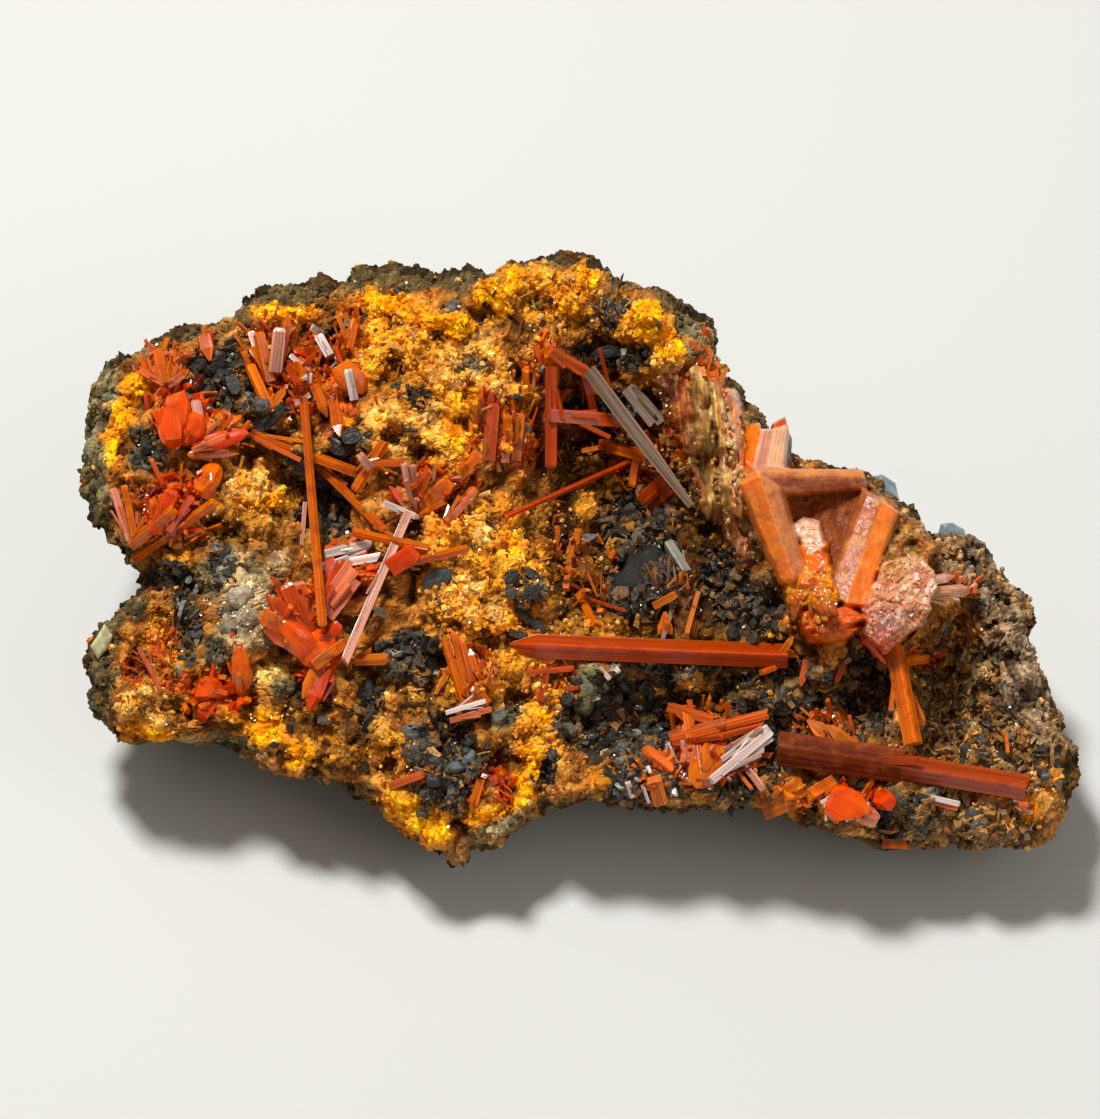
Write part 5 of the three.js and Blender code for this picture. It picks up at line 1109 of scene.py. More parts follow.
# The box cluster is the upper skin of flat facets: corners (across, down, out), tint, surface, and the
# way its grain runs, in degrees.
facets = [
    # left post: a bright left face and a paler right face, painted as light through the one and sheen on the
    # other
    ([(73.8, 48.4, 9.8), (75.6, 47.5, 11), (79.2, 58, 8.8), (77.9, 58.2, 7.6)], "frameOrange", "smooth", 109),
    ([(75.6, 47.5, 11), (77.8, 48.9, 9.7), (80.4, 57.2, 7.6), (79.2, 58, 8.8)], "peach", "smooth", 109),
    # beam: a narrow top and a broad front
    ([(75.3, 47.4, 10.4), (76.2, 46.9, 9), (86.4, 46.9, 0.2), (86.6, 47.7, 1.3)], "peach", "smooth", 0),
    ([(75.4, 47.6, 10.5), (86.5, 47.7, 1.4), (86.9, 49, 0.6), (77.2, 49.4, 8.2)], "rosy", "smooth", 0),
    # the back of the window, brown and painted dark for the shade under the beam, and the frosted patch on it
    ([(77.2, 49, 3), (87, 48.8, 0), (83.4, 58.2, 7.2), (79.6, 58.2, 7.4)], "smoky", "etched", 60),
    ([(79.2, 52.6, 5.6), (80.3, 51.8, 5.4), (81.8, 52.3, 5.8), (82.3, 54.6, 6.9),
       (80.6, 55.6, 7)], "pearl", "fine", 0),
    ([(79.4, 54.6, 6.4), (82.6, 54.4, 6.6), (82.8, 58.4, 8.9), (79.6, 58.6, 8.6)], "orange", "etched", 80),
    # right post: a paler left face and a bright right face, the difference painted light
    ([(86.5, 49.2, 4.2), (88, 50.1, 5), (84.2, 60.4, 9.7), (82.6, 59, 8.6)], "rosy", "smooth", 69),
    ([(88, 50.1, 5), (89.7, 51.1, 3.8), (86.2, 60.6, 8.8), (84.2, 60.4, 9.7)], "frameOrange", "smooth", 69),
    # rough base and lower block
    ([(77.8, 57.4, 7.4), (82.8, 57, 8.6), (83.6, 60.2, 9.4), (79.2, 60.8, 8)], "gold", "granular", 80),
    ([(79.8, 61, 7.6), (84.4, 60.6, 9.4), (86.2, 61.8, 10.4), (83.6, 62.8, 9.9),
       (80.2, 63, 7.6)], "salmon", "etched", 0),
    ([(80.2, 63, 7.5), (83.6, 62.8, 9.8), (86, 62.4, 10.2), (84, 64.2, 8.4),
       (80.8, 64.2, 6.6)], "orange", "etched", 0),
    # ochre crust from the beam down to the druse
    ([(86.6, 47.8, 0.4), (88.8, 49.8, 0.2), (92, 52.4, 1.2), (90, 54.6, 4),
       (88.4, 51.6, 2.8)], "crust", "crust", 0),
    ([(89.2, 50.8, 2.2), (92.2, 52.2, 1.2), (93.6, 54.6, 2.4), (92.2, 57, 5.6), (88, 58.8, 8),
       (87.4, 55.8, 6)], "crust", "crust", 0),
    # druse
    ([(88.2, 56.4, 6.8), (91.4, 55.4, 5.4), (93.4, 57, 5.4), (93.2, 60.4, 7.4), (89, 60.4, 10),
       (86.6, 59.8, 9.8)], "frosted", "sugar", 30),
    ([(86.6, 59.4, 9.8), (89.4, 59.6, 10.3), (93.2, 60.2, 7.6), (91.2, 63, 8.4), (88.4, 65, 8.6),
       (86, 63.4, 10)], "frosted", "sugar", 30),
    ([(85.8, 61, 10), (88.6, 60.4, 11.2), (90, 62.4, 10.4), (88, 64.6, 9.8)], "lilac", "sugar", 30),
    # the wedge-shaped prism above: a bright left face painted as light through it, two striated faces painted
    # pale as a sheen, and a notched top
    ([(74.3, 42.3, -1.6), (76.1, 42.2, -0.8), (75.7, 45.6, 4.2), (74.6, 48, 7.2),
       (74.1, 45.4, 3)], "orange", "smooth", 80),
    ([(76.1, 42.8, -0.2), (77.3, 42.9, 0.2), (76.3, 47.6, 8), (74.9, 47.6, 7.6)], "lilac", "striated", 76),
    ([(77.3, 42.9, 0.2), (78.9, 42.3, -1.6), (78.2, 47.2, 6.4), (76.3, 47.6, 8)], "pearl", "striated", 76),
    ([(77.3, 42.3, -1), (78.7, 41.5, -2.6), (79, 43, -1.2), (77.6, 43, 0)], "deep", "smooth", 30),
]


# The height of the facets' upper skin, that of the next facet under it, the facet on top, and how far
# the skin has fallen from that facet's edge.
def facetSkin(a, d):
    ragged = fractalAt(a, d, 1.8, 67)
    best, second = np.full(a.shape, -99.0), np.full(a.shape, -99.0)
    owner, fallen = np.zeros(a.shape, int), np.zeros(a.shape)
    for number, (corners, _, grain, _) in enumerate(facets):
        c = np.array(corners)
        plane = np.linalg.lstsq(np.column_stack([c[:, :2], np.ones(len(c))]), c[:, 2], rcond=None)[0]
        after = np.roll(c, -1, axis=0)
        turned = np.sign(np.sum(c[:, 0] * after[:, 1] - after[:, 0] * c[:, 1]))
        outside = np.full(a.shape, -99.0)
        for (ax, ay, _), (bx, by, _) in zip(c, after):
            away = turned * ((a - ax) * (by - ay) - (d - ay) * (bx - ax)) / math.hypot(bx - ax, by - ay)
            outside = np.maximum(outside, away)
        outside = outside + ragged * (0.45 if grain in ("crust", "sugar", "granular") else 0.08)
        fall = 11 * np.maximum(outside, 0)
        z = a * plane[0] + d * plane[1] + plane[2] - fall
        higher = z > best
        second = np.where(higher, best, np.maximum(second, z))
        best = np.where(higher, z, best)
        fallen = np.where(higher, fall, fallen)
        owner[higher] = number
    return best, second, owner, fallen


# A sheet over the rock from grids of its place, depth, colour, finish and the way its grain runs. What
# lies under the rock, and what is deeper than 50 mm, is left out.
def sheet(a, d, z, tint, kind, way, shift=0.0):
    ground = faceDepth(a, d)
    quads = gridQuads(np.arange(a.size).reshape(a.shape))
    shown, kept = (z > ground - 1.0).ravel(), (z > -50).ravel()
    quads = quads[shown[quads].any(axis=1) & kept[quads].all(axis=1)]
    used, renumbered = np.unique(quads, return_inverse=True)
    quads = renumbered.reshape(-1, 4)
    turn = np.radians(way)
    grain = np.stack([a * np.sin(turn) + d * np.cos(turn), a * np.cos(turn) - d * np.sin(turn)], axis=-1)
    return {
        "points": (place(a, d, np.maximum(z, ground - 2.0)) + shift).reshape(-1, 3)[used], "quads": quads,
        "tris": np.zeros((0, 3), int), "uv": grain.reshape(-1, 2)[used][quads.ravel()],
        "triUv": np.zeros((0, 2)), "tint": tint.reshape(-1, 3)[used], "kind": kind.ravel()[used][quads[:, 0]],
    }


# The box cluster: the facets' skin, rounded where two meet, with grain, lumps, grooves and pits on it.
def boxSkin():
    a, d = np.meshgrid(np.arange(72.6, 95.4, 0.105), np.arange(40.2, 66.0, 0.105))
    z, below, owner, fallen = facetSkin(a, d)
    z = averaged(averaged(np.maximum(z, -40), 1), 1)
    z = np.where((d < 42.4) & (fallen > 5), -60, z)  # no tongue down the rock behind the wedge
    edge = np.exp(-((z - below) / 0.5) ** 2)
    surfaces = np.array([f[2] for f in facets])[owner]
    way = np.array([f[3] for f in facets], float)[owner]
    across = a * np.sin(np.radians(way)) + d * np.cos(np.radians(way))
    best, offset, luck = cells(np.stack([a, d, 0 * a], axis=-1).reshape(-1, 3), 0.42, 31)
    slopes = (offset * (luck - 0.5) * 2.2).sum(axis=1).reshape(a.shape)
    bumps = (0.35 - best ** 2).reshape(a.shape)
    lumpy, fine = fractalAt(a, d, 1.6, 51), fractalAt(a, d, 0.5, 58, 2)
    groove = np.abs((across / 0.24 + 0.3 * lumpy) % 1 - 0.5)
    relief = {
        "sugar": 0.3 * slopes + 0.35 * lumpy, "granular": 0.42 * bumps + 0.45 * lumpy,
        "crust": 0.3 * bumps + 0.75 * lumpy + 0.15 * fine, "etched": 0.35 * lumpy + 0.08 * fine,
        "striated": 0.2 * groove, "fine": 0.1 * slopes + 0.25 * lumpy,
        "smooth": 0.012 * groove + 0.16 * lumpy + 0.03 * fine,
    }
    z = z + np.select([surfaces == key for key in relief], list(relief.values()))
    pit = sum(deep * np.exp(-(np.hypot(a - pa, d - pd) / reach) ** 2) for pa, pd, reach, deep in (
        (91.1, 54.4, 0.5, 1), (82.5, 55.2, 0.35, 0.7), (89.6, 53.2, 0.3, 0.6)))
    z = z - 1.1 * pit
    colour, kind = (np.array(v)[owner] for v in zip(*(tints[f[1]] for f in facets)))
    # painted light: lighter along the edges where two facets meet, and lighter on the lumps, with painted
    # shade in the dips between them
    tint = colour * ((1 + 0.3 * edge) * (1 + 0.22 * lumpy))[..., None]
    # yellow-brown stain on the beam, the crust and the base, and orange glow low in the druse
    crust, sugar = surfaces == "crust", surfaces == "sugar"
    stained = (crust | (surfaces == "granular")) * 0.8 + (surfaces == "smooth") * 0.4
    tint = blend(tint, 0xD89A30, smooth(0.1, 0.5, fractalAt(a, d, 1.1, 63, 3)) * stained)
    for patch, seed, size, share in (
            (0xC0682C, 85, 1.5, 0.8), (0xD4B080, 87, 0.6, 0.6), (0x6E4424, 89, 0.8, 0.8)):
        tint = blend(tint, patch, smooth(0.15, 0.4, fractalAt(a, d, size, seed, 3)) * crust * share)
    tint = blend(tint, 0xC0923C, (1 - smooth(56.4, 59.4, d + 0.5 * (a - 88))) * sugar * 0.8)
    # painted highlights: random cells of the druse and of the frosted patch are made pale, as glints
    bright = (luck[:, 0].reshape(a.shape) > 0.84) & (sugar | (surfaces == "fine"))
    tint = np.where(bright[..., None], tint * 0.4 + 0.5, tint)
    tint = blend(tint, 0xE8602C, smooth(61.5, 65.0, d) * (a > 85) * 0.75)
    # painted shade: the pits are darkened
    tint = tint * (1 - 0.75 * np.clip(pit, 0, 1))[..., None]
    # the hidden rear of the box: drawn in under its edge, and crusted like the rock
    rim = [(73, 42.4), (76, 41.4), (79.2, 41), (79.6, 46.2), (86.6, 46), (89.8, 48.4), (92.6, 51.6),
           (94.2, 54.6), (94, 60.6)]
    under = (1 - smooth(1.3, 2.1, distanceTo(a, d, rim))) * np.maximum(fallen - 0.5, 0)
    shift = under[..., None] * np.stack([-0.55 * smooth(84, 92, a), -0.82 + 0 * a, 0 * a], axis=-1)
    solid = place(a, d, np.maximum(z, faceDepth(a, d) - 2)).reshape(-1, 3)
    crusty = fractal(solid, 2.4, 111).reshape(a.shape)
    shift = shift + (smooth(0.5, 3, under) * crusty * 0.9)[..., None] * (0.3, 0.9, 0.3)
    crusted = smooth(0.4, 1.6, under)
    tint = blend(tint, blend(0x4E4230, 0x94683A, smooth(-0.3, 0.3, crusty)), crusted)
    kind = np.where(crusted > 0.4, crystalKinds.index("dusty"), kind)
    return sheet(a, d, z, tint, kind, way, shift)


# The fibrous wall left of the box: columns of parallel fibres that hang down the rock: points, half
# width, rise, colour.
wallColumns = [
    ([(67.8, 38.4), (68.6, 41.4), (69.2, 44.6)], 1.2, 1.4, 0xA85434),
    ([(69.8, 37.6), (70.4, 43), (71.2, 50.2)], 0.9, 3, 0xB0904C),
    ([(71.4, 38.4), (72.1, 44), (73, 50.6)], 0.8, 2.7, 0xD0A25C),
    ([(73.1, 39.4), (73.7, 45), (74.3, 50.8)], 0.8, 2.2, 0xF0985A),
    ([(69.2, 44), (69.9, 47.8), (71.6, 51.4)], 0.7, 1.5, 0x8E6638),
    ([(72.4, 50), (73.4, 53.4), (74.6, 55.4)], 0.7, 1.1, 0xB87048),
]


# Each column rises over the rock by its rise times e to the minus (distance in half widths) to the power
# 2.6, and the highest one shows. The wall ends at the outline of the rock.
def wallSkin():
    under = 1.6
    a, d = np.meshgrid(np.arange(65.6, 76.4, 0.09), np.arange(36.0, 57.0, 0.09))
    rise, owner = np.full(a.shape, -under), np.zeros(a.shape, int)
    bent = fractalAt(a, d, 1.6, 77, 3) * 0.5
    for number, (chain, halfWidth, high, _) in enumerate(wallColumns):
        top = (high + under) * np.exp(-((distanceTo(a + bent, d, chain) / halfWidth / 1.3) ** 2.6)) - under
        owner[top > rise] = number
        rise = np.maximum(rise, top)
    fibres, lumps = fractalAt(a, d * 0.2, 0.7, 71), fractalAt(a, d * 0.7, 1.3, 75)
    pocket = np.exp(-((np.hypot((a - 70.5) / 1.0, (d - 46.4) / 1.6)) ** 2.6))
    z = faceDepth(a, d) + rise + (0.6 * fibres + 0.7 * lumps) * smooth(-1.5, 0.2, rise) - 1.5 * pocket
    z = np.where(outward(a, d) > 0.985, -40, z)
    tint = np.array([linear(column[3]) for column in wallColumns])[owner]
    tint = np.dstack([averaged(tint[..., channel], 3) for channel in range(3)])
    for patch, seed, size in ((0xF0D49C, 79, 0.7), (0x6E4A28, 83, 0.9), (0xE88C50, 85, 1.5)):
        tint = blend(tint, patch, smooth(0.05, 0.4, fractalAt(a, d * 0.35, size, seed)) * 0.7)
    # painted shade: the pocket is darkened nearly to black. The tint also follows the fibres' relief, lighter
    # where they stand out
    tint = tint * (np.clip(0.95 + 0.6 * fibres, 0.5, 1.5) * (1 - 0.9 * pocket))[..., None]
    kind = np.where(owner == 3, crystalKinds.index("resinous"), crystalKinds.index("dusty"))
    return sheet(a, d, z, tint, kind, np.full(a.shape, 97.0))


def buildCrystals():
    for number, (node, rows) in enumerate(crystals.items()):
        rng = np.random.default_rng(100 + number)
        parts = []
        for row in rows:
            whole = (*endsOf(row), *row[6:], rng)
            width, end = row[6], row[9]
            if end == "slant" and width > 1.0:
                parts += laths(*whole)
            else:
                parts.append(lump(*whole) if end == "lump" else prism(*whole))
            sides = 0 if node in growth["plain"] else 1 if node in growth["few"] else 3
            parts += sideGrowth(sides, *whole)
        if node == "box_cluster":
            parts.append(boxSkin())
        addPiece(cameled(node), joined(parts), crystalMaterials, [node])
    wall = joined([wallSkin()])
    addPiece("wallSlabs", wall, crystalMaterials, ["wall_slabs"], soft=True)


buildCrystals()
print("crystals", len(crystals))


# Small pieces, many in one mesh

# An upright prism of so many sides, one unit wide and one high, from 0 up.
def barShape(sides):
    angles = 2 * np.pi * (np.arange(sides) + 0.5) / sides
    ring = np.stack([np.cos(angles), np.sin(angles)], axis=1) / 2
    points = np.concatenate([np.column_stack([ring, np.full(sides, height)]) for height in (0.0, 1.0)])
    k = np.arange(sides)
    after = (k + 1) % sides
    walls = [np.stack([k, after, after + sides], axis=1), np.stack([k, after + sides, k + sides], axis=1)]
    cap = np.stack([np.zeros(sides - 2, int), k[1:-1], k[2:]], axis=1)
    return points, np.concatenate([*walls, cap[:, ::-1], cap + sides])


# Unit vectors about given ones, turned away from them by up to a spread in degrees.
def around(aims, spread, rng):
    aims = unit(aims)
    other = unit(np.cross(aims, rng.standard_normal(aims.shape)))
    angle = np.radians(spread) * np.sqrt(rng.uniform(0, 1, len(aims)))[:, None]
    return aims * np.cos(angle) + other * np.sin(angle)


# Copies of one shape, each with its own place, aim of its height, sizes and tint, its corners moved a
# little by a share of its size.
def crowd(shape, places, aims, sizes, colours, unevenness, rng, sideways=None):
    base, faces = shape
    count = len(places)
    if sideways is None:
        side = unit(np.cross(aims, rng.standard_normal(aims.shape)))
    else:
        side = unit(np.cross(np.cross(aims, sideways), aims))
    basis = np.stack([side, np.cross(aims, side), aims], axis=1)
    wobble = 1 + unevenness * rng.uniform(-1, 1, (count, len(base), 3))
    local = base[None] * sizes[:, None, :] * wobble
    points = np.einsum("nvk,nkj->nvj", local, basis) + places[:, None]
    allFaces = faces[None] + len(base) * np.arange(count)[:, None, None]
    loops = local[:, faces.ravel()]
    uv = np.stack([loops[..., 0] - loops[..., 1], loops[..., 2] + 7.3 * np.arange(count)[:, None]], axis=-1)
    return {
        "points": points.reshape(-1, 3), "faces": [allFaces.reshape(-1, 3)],
        "tint": np.repeat(colours, len(base), axis=0), "uv": uv.reshape(-1, 2),
    }


# Places on the rock, drawn with a chance that follows a weight, with the normal and colour there.
def spots(count, part, weight, rng):
    quads = surface[part]
    corners = surface["points"][quads]
    cross = np.cross(corners[:, 2] - corners[:, 0], corners[:, 3] - corners[:, 1])
    area = np.linalg.norm(cross, axis=1)
    chance = area * weight[quads].mean(axis=1)
    pick = rng.choice(len(quads), count, p=chance / chance.sum())
    s, t = rng.uniform(0, 1, (2, count, 1))
    c = corners[pick]
    at = c[:, 0] * (1 - s) * (1 - t) + c[:, 1] * s * (1 - t) + c[:, 2] * s * t + c[:, 3] * (1 - s) * t
    normal = cross[pick] / area[pick][:, None]
    normal = normal * np.sign(normal @ outDir)[:, None] if part == "face" else normal
    return at, normal, surface["tint"][quads[pick, 0]]


# Random sizes: the middle one is near the low end, and few are large.
def mixed(low, high, count, rng):
    return low + (high - low) * rng.uniform(0, 1, count) ** 2


# Grain sizes: a random one for each, and that one squashed differently along three axes.
def grainSizes(low, high, least, most, count, rng):
    size = mixed(low, high, count, rng)[:, None]
    return size, size * rng.uniform(least, most, (count, 3))


# Colours by random numbers: each step is an upper limit and a colour.
def colourBy(luck, *steps):
    limits, colours = zip(*steps)
    return np.array([linear(c) for c in colours])[np.searchsorted(limits, luck.ravel(), side="right")]


# Many grains as one piece of gossan, none of them lower than a given height.
def addCrumbs(name, shape, at, aims, sizes, tint, unevenness, rng, shiny=False, lowest=-99.0):
    made = crowd(shape, at, aims, sizes, tint, unevenness, rng)
    made["points"][:, 2] = np.maximum(made["points"][:, 2], lowest)
    if shiny:
        made["shine"] = np.repeat(rng.uniform(0.2, 1, len(at)), len(shape[0]))
    addPiece(name, made, [gossan])


def addGrains():
    rng = np.random.default_rng(11)
    black = surface["black"]
    # crumbs of ochre and limonite, rusty or golden on the dark crust
    count = 8600
    weight = (surface["granular"] * 0.86 + 0.14) * (1 - 0.8 * black)
    at, normal, tint = spots(count, "face", weight, rng)
    size, sizes = grainSizes(0.22, 0.85, 0.6, 1.2, count, rng)
    light = rng.uniform(0.75, 1.45, (count, 1))
    cream = rng.uniform(0, 1, (count, 1)) < 0.07
    tint = np.where(cream, linear(0xDCB068), tint * light)
    crumb = colourBy(rng.uniform(0, 1, count), (0.3, 0xC88420), (0.7, 0x8A5418), (1, 0x5A4020))
    tint = np.where(tint.max(axis=1, keepdims=True) < 0.06, crumb, tint)
    addCrumbs("ochreGrains", ballShape(1), at + normal * size * 0.15, normal, sizes, tint, 0.22, rng)
    # crumbs of the dull outer skin
    count = 7600
    skin = np.clip(surface["outer"] + surface["grey"] + surface["moss"] + surface["tan"], 0, 1)
    where = [spots(count // 2, "face", skin, rng),
             spots(count // 2, "walls", surface["outer"] * smooth(1.5, 4, surface["points"][:, 2]), rng)]
    at, normal, tint = (np.concatenate(v) for v in zip(*where))
    size, sizes = grainSizes(0.2, 0.9, 0.5, 1.2, count, rng)
    tint = tint * rng.uniform(0.6, 1.4, (count, 1))
    addCrumbs("skinGrains", ballShape(1), at, normal, sizes, tint, 0.3, rng, lowest=0.02)
    # thin plates of black crust, many of them on edge. They lie in stacks: the way they face changes
    # slowly from place to place. They are blue-black in the middle, browner towards the right and painted
    # lighter there, as if lit; a few pale grey-blue ones are painted glints
    count = 4600
    at, normal, tint = spots(count, "face", black * 0.98 + 0.02 * (1 - surface["outer"]), rng)
    facing = np.stack([noise(at, 3.4, seed) for seed in (101, 103, 105)], axis=1) * 2.4 + normal
    size = mixed(0.3, 2.2, count, rng)
    sizes = np.stack([size, size * rng.uniform(0.35, 0.9, count), rng.uniform(0.12, 0.5, count)], axis=1)
    luck = rng.uniform(0, 1, count) + smooth(6.0, 38.0, at[:, 0]) * 0.6
    dark = colourBy(
        luck, (0.06, 0x8A9492), (0.5, 0x403C32), (0.78, 0x2A261E), (0.84, 0xA87A2C), (2, 0x6C5430))
    dark = dark * rng.uniform(0.6, 1.4, (count, 1)) * (1 + 0.7 * smooth(30, 38, at[:, :1]))
    addCrumbs("crustPlates", barShape(5), at, around(facing, 30, rng), sizes, dark, 0.42, rng, True)
    # knobbly black crust
    count = 1200
    at, normal, tint = spots(count, "face", black, rng)
    size, sizes = grainSizes(0.4, 2.0, 0.5, 1.1, count, rng)
    luck = rng.uniform(0, 1, (count, 1))
    dark = colourBy(luck, (0.1, 0x5A6260), (1, 0x302E28)) * rng.uniform(0.7, 1.4, (count, 1))
    dark = np.where(luck > 0.8 - 0.4 * smooth(5, 30, at[:, :1]), linear(0x7A5626), dark)
    addCrumbs("crustKnobs", ballShape(2), at - normal * size * 0.15, normal, sizes, dark, 0.22, rng, True)
    # golden and brown crumbs caught in the black crust
    count = 4200
    patchy = smooth(-0.2, 0.35, noise(surface["points"], 2.6, 107))
    weight = black * (0.12 + patchy) * (1 - 1.6 * surface["deep"]).clip(0.1)
    at, normal, tint = spots(count, "face", weight, rng)
    size, sizes = grainSizes(0.12, 0.7, 0.4, 1.3, count, rng)
    tone = colourBy(rng.uniform(0, 1, count), (0.3, 0xB8802A), (0.65, 0x86602E), (1, 0x524028))
    tone = tone * rng.uniform(0.6, 1.3, (count, 1))
    at = at + normal * rng.uniform(-0.1, 0.3, (count, 1))
    addCrumbs("rustCrumbs", ballShape(1), at, around(normal, 70, rng), sizes, tone, 0.4, rng)


# Tiny faces all over the crystal side, turned so that they catch the main light, and more
# of them on the ash-grey knob at the left.
def addSparkles():
    rng = np.random.default_rng(61)
    weight = (1 - surface["outer"]) * (0.3 + surface["granular"] + surface["black"])
    knob = np.exp(-(np.hypot(*(surface["flat"] - (24.1, 60.9)).T) / 1.6) ** 2)
    where = [spots(1500, "face", weight, rng), spots(90, "face", knob, rng)]
    at, normal, tint = (np.concatenate(v) for v in zip(*where))
    count = len(at)
    size = mixed(0.1, 0.4, count, rng)
    sizes = np.stack([size, size * rng.uniform(0.4, 1.0, count), rng.uniform(0.06, 0.12, count)], axis=1)
    # painted highlight: each takes the colour under it made much paler, and pale grey on the dark crust
    tint = np.where(tint.max(axis=1, keepdims=True) < 0.1, linear(0x9AA4A2), np.clip(tint * 2.2 + 0.12, 0, 1))
    aims = around(np.tile(unit(keyPlace) + outDir, (count, 1)), 14, rng)
    made = crowd(barShape(5), at + normal * 0.12, aims, sizes, tint, 0.25, rng)
    addPiece("sparkles", made, [crocoite["silvery"]])


# Flakes and knobs of the rock that can be told apart: across, down, width, height, the turn of the
# longer side in degrees, colour, and shine.
flakes = [
    (26.6, 41.8, 4.8, 1.7, 36, 0x30322F, 0.6), (43.7, 58, 3.3, 2, 32, 0x3C4648, 0.5),
    (22.1, 56.8, 3.9, 1.3, -60, 0x24282A, 0.7), (53.4, 62.2, 3.8, 0.9, -42, 0x2C3030, 0.6),
    (52.4, 61.4, 2.6, 0.8, -50, 0x30302C, 0.6), (51.2, 57.6, 1.8, 1, 40, 0x3C4442, 0.5),
    (53.2, 57.4, 1.9, 1, -30, 0x3A4446, 0.5), (51, 59.2, 1.6, 0.9, -60, 0x3C4240, 0.5),
    (53, 59.4, 1.7, 1, 20, 0x363E40, 0.5), (45.2, 30.4, 1.5, 1, 60, 0x6C6E6A, 0.4),
    (49.8, 71.4, 1.9, 1.1, 35, 0x78827E, 0.4), (18.8, 58, 0.9, 0.7, 50, 0x6A7880, 0.5),
    (19.6, 59.1, 0.9, 0.6, 70, 0x5E6C74, 0.5), (21.4, 36, 2.4, 1.4, 60, 0x2A2B28, 0.7),
    (23, 38.4, 2.6, 1.4, 110, 0x282A28, 0.7), (19.4, 36.2, 1.9, 1.2, 20, 0x2C2C28, 0.7),
    (24.6, 43.6, 2.4, 1, 30, 0x34342E, 0.5), (35, 43.6, 2.2, 1.6, 10, 0x2E3436, 0.9),
    (33.6, 44.8, 1.7, 1.1, -30, 0x2A2E2E, 0.8), (51.6, 63.4, 2.2, 0.8, -10, 0x34362F, 0.5),
    (77.7, 71, 2.9, 1, -8, 0x5C5838, 0.4), (61, 34.8, 3.4, 1.2, 8, 0x2C2E2B, 0.7),
    (58.6, 54, 2.4, 0.9, 12, 0x50585A, 0.9), (94.8, 62.8, 1.6, 1, 70, 0x40464A, 0.8),
]
knobs = [
    (64.2, 58.4, 5.6, 6.6, 70, 0x202220, 0.3), (75.6, 61.8, 7.6, 4, 5, 0x1C1E1D, 0.3),
    (58.4, 68.9, 2.9, 4.4, 90, 0x62664F, 0.3), (78.2, 76.2, 2, 2.6, 90, 0x6C7068, 0.3),
    (61.5, 67.2, 0.9, 0.9, 0, 0x7C8282, 0.4), (63.2, 67.2, 1, 0.9, 0, 0x747A7A, 0.4),
    (64.4, 72.4, 1.7, 3.4, 80, 0x5C625C, 0.3), (65.9, 70.8, 1, 1.2, 90, 0x6E7470, 0.4),
    (45.3, 43.2, 1.9, 1.8, 0, 0xE0941C, 0.1), (54.8, 71.8, 1.8, 1.7, 0, 0xD08818, 0.1),
    (55.5, 74, 1.6, 1.5, 0, 0xC88018, 0.1), (60.2, 78.1, 2, 1.6, 0, 0xB87818, 0.1),
    (41.2, 73.1, 1.9, 1.7, 0, 0x5A6062, 0.8), (43.4, 72.6, 1.7, 1.6, 0, 0x646A6C, 0.8),
    (47.1, 76.2, 1.9, 2.4, 90, 0x585E60, 0.8), (46.8, 79.2, 2.4, 4, 80, 0x3E4244, 0.6),
    (43.6, 76.4, 1.7, 1.8, 0, 0x303334, 0.7), (42.8, 74.6, 1.5, 1.9, 0, 0x3A3E40, 0.7),
    (44.6, 78, 1.7, 1.9, 0, 0x2C2E2E, 0.7), (45.6, 71.8, 1.9, 1.2, 0, 0x3C4042, 0.7),
    (47.4, 73.4, 1.2, 2.2, 0, 0x34383A, 0.7), (45.4, 76.7, 1.9, 1.3, 0, 0x44484A, 0.8),
    (40.4, 65, 2.6, 1.9, 30, 0x2E2F2B, 0.5), (43, 66.6, 2.2, 2.8, 20, 0x34342E, 0.5),
    (36.8, 69, 1.3, 2.6, 0, 0x34383A, 0.5), (37.2, 71.6, 1.2, 1.9, 0, 0x2C2F2E, 0.5),
    (22.6, 57.4, 2, 2.2, 0, 0x7E7A66, 0.5), (24, 59.6, 3, 2.4, 20, 0xA89C84, 0.6),
    (26.2, 58.4, 2.6, 1.4, 50, 0x948A6C, 0.5), (27.4, 56.8, 2.2, 1.1, 55, 0x988E70, 0.5),
    (25, 61.8, 2.8, 2.2, 0, 0x9A8E76, 0.6), (23.2, 63.4, 2.2, 2.4, 0, 0x706C5E, 0.5),
    (27, 63.4, 2.4, 1.6, -40, 0x66645A, 0.5), (22, 66, 1.9, 1.6, 0, 0x6C6A5C, 0.5),
    (28.8, 64.6, 1.8, 1.4, -40, 0x5C5A52, 0.5), (19, 61.6, 1.2, 2.6, 90, 0x26282A, 0.8),
    (18.8, 64.4, 1.2, 2.2, 90, 0x282A2A, 0.8), (28.6, 68.6, 2.2, 1.9, 0, 0x6E6A50, 0.3),
    (27.2, 68, 1.8, 1.4, 0, 0x9A8038, 0.2), (39.4, 70.4, 1.6, 2, 0, 0xB88A40, 0.2),
    (14.8, 44.6, 1.8, 1.5, 0, 0x2C2C28, 0.5), (15.6, 46.4, 1.6, 1.6, 0, 0x302F2A, 0.5),
    (89.6, 79.6, 1.9, 1.7, 0, 0x42463F, 0.5), (91.6, 82.2, 2.2, 1.9, 0, 0x4E524C, 0.5),
    (97.4, 81.4, 2.4, 1.9, 0, 0x3A3E3C, 0.6), (104.6, 75.6, 2.2, 2.6, 0, 0x55574E, 0.4),
]


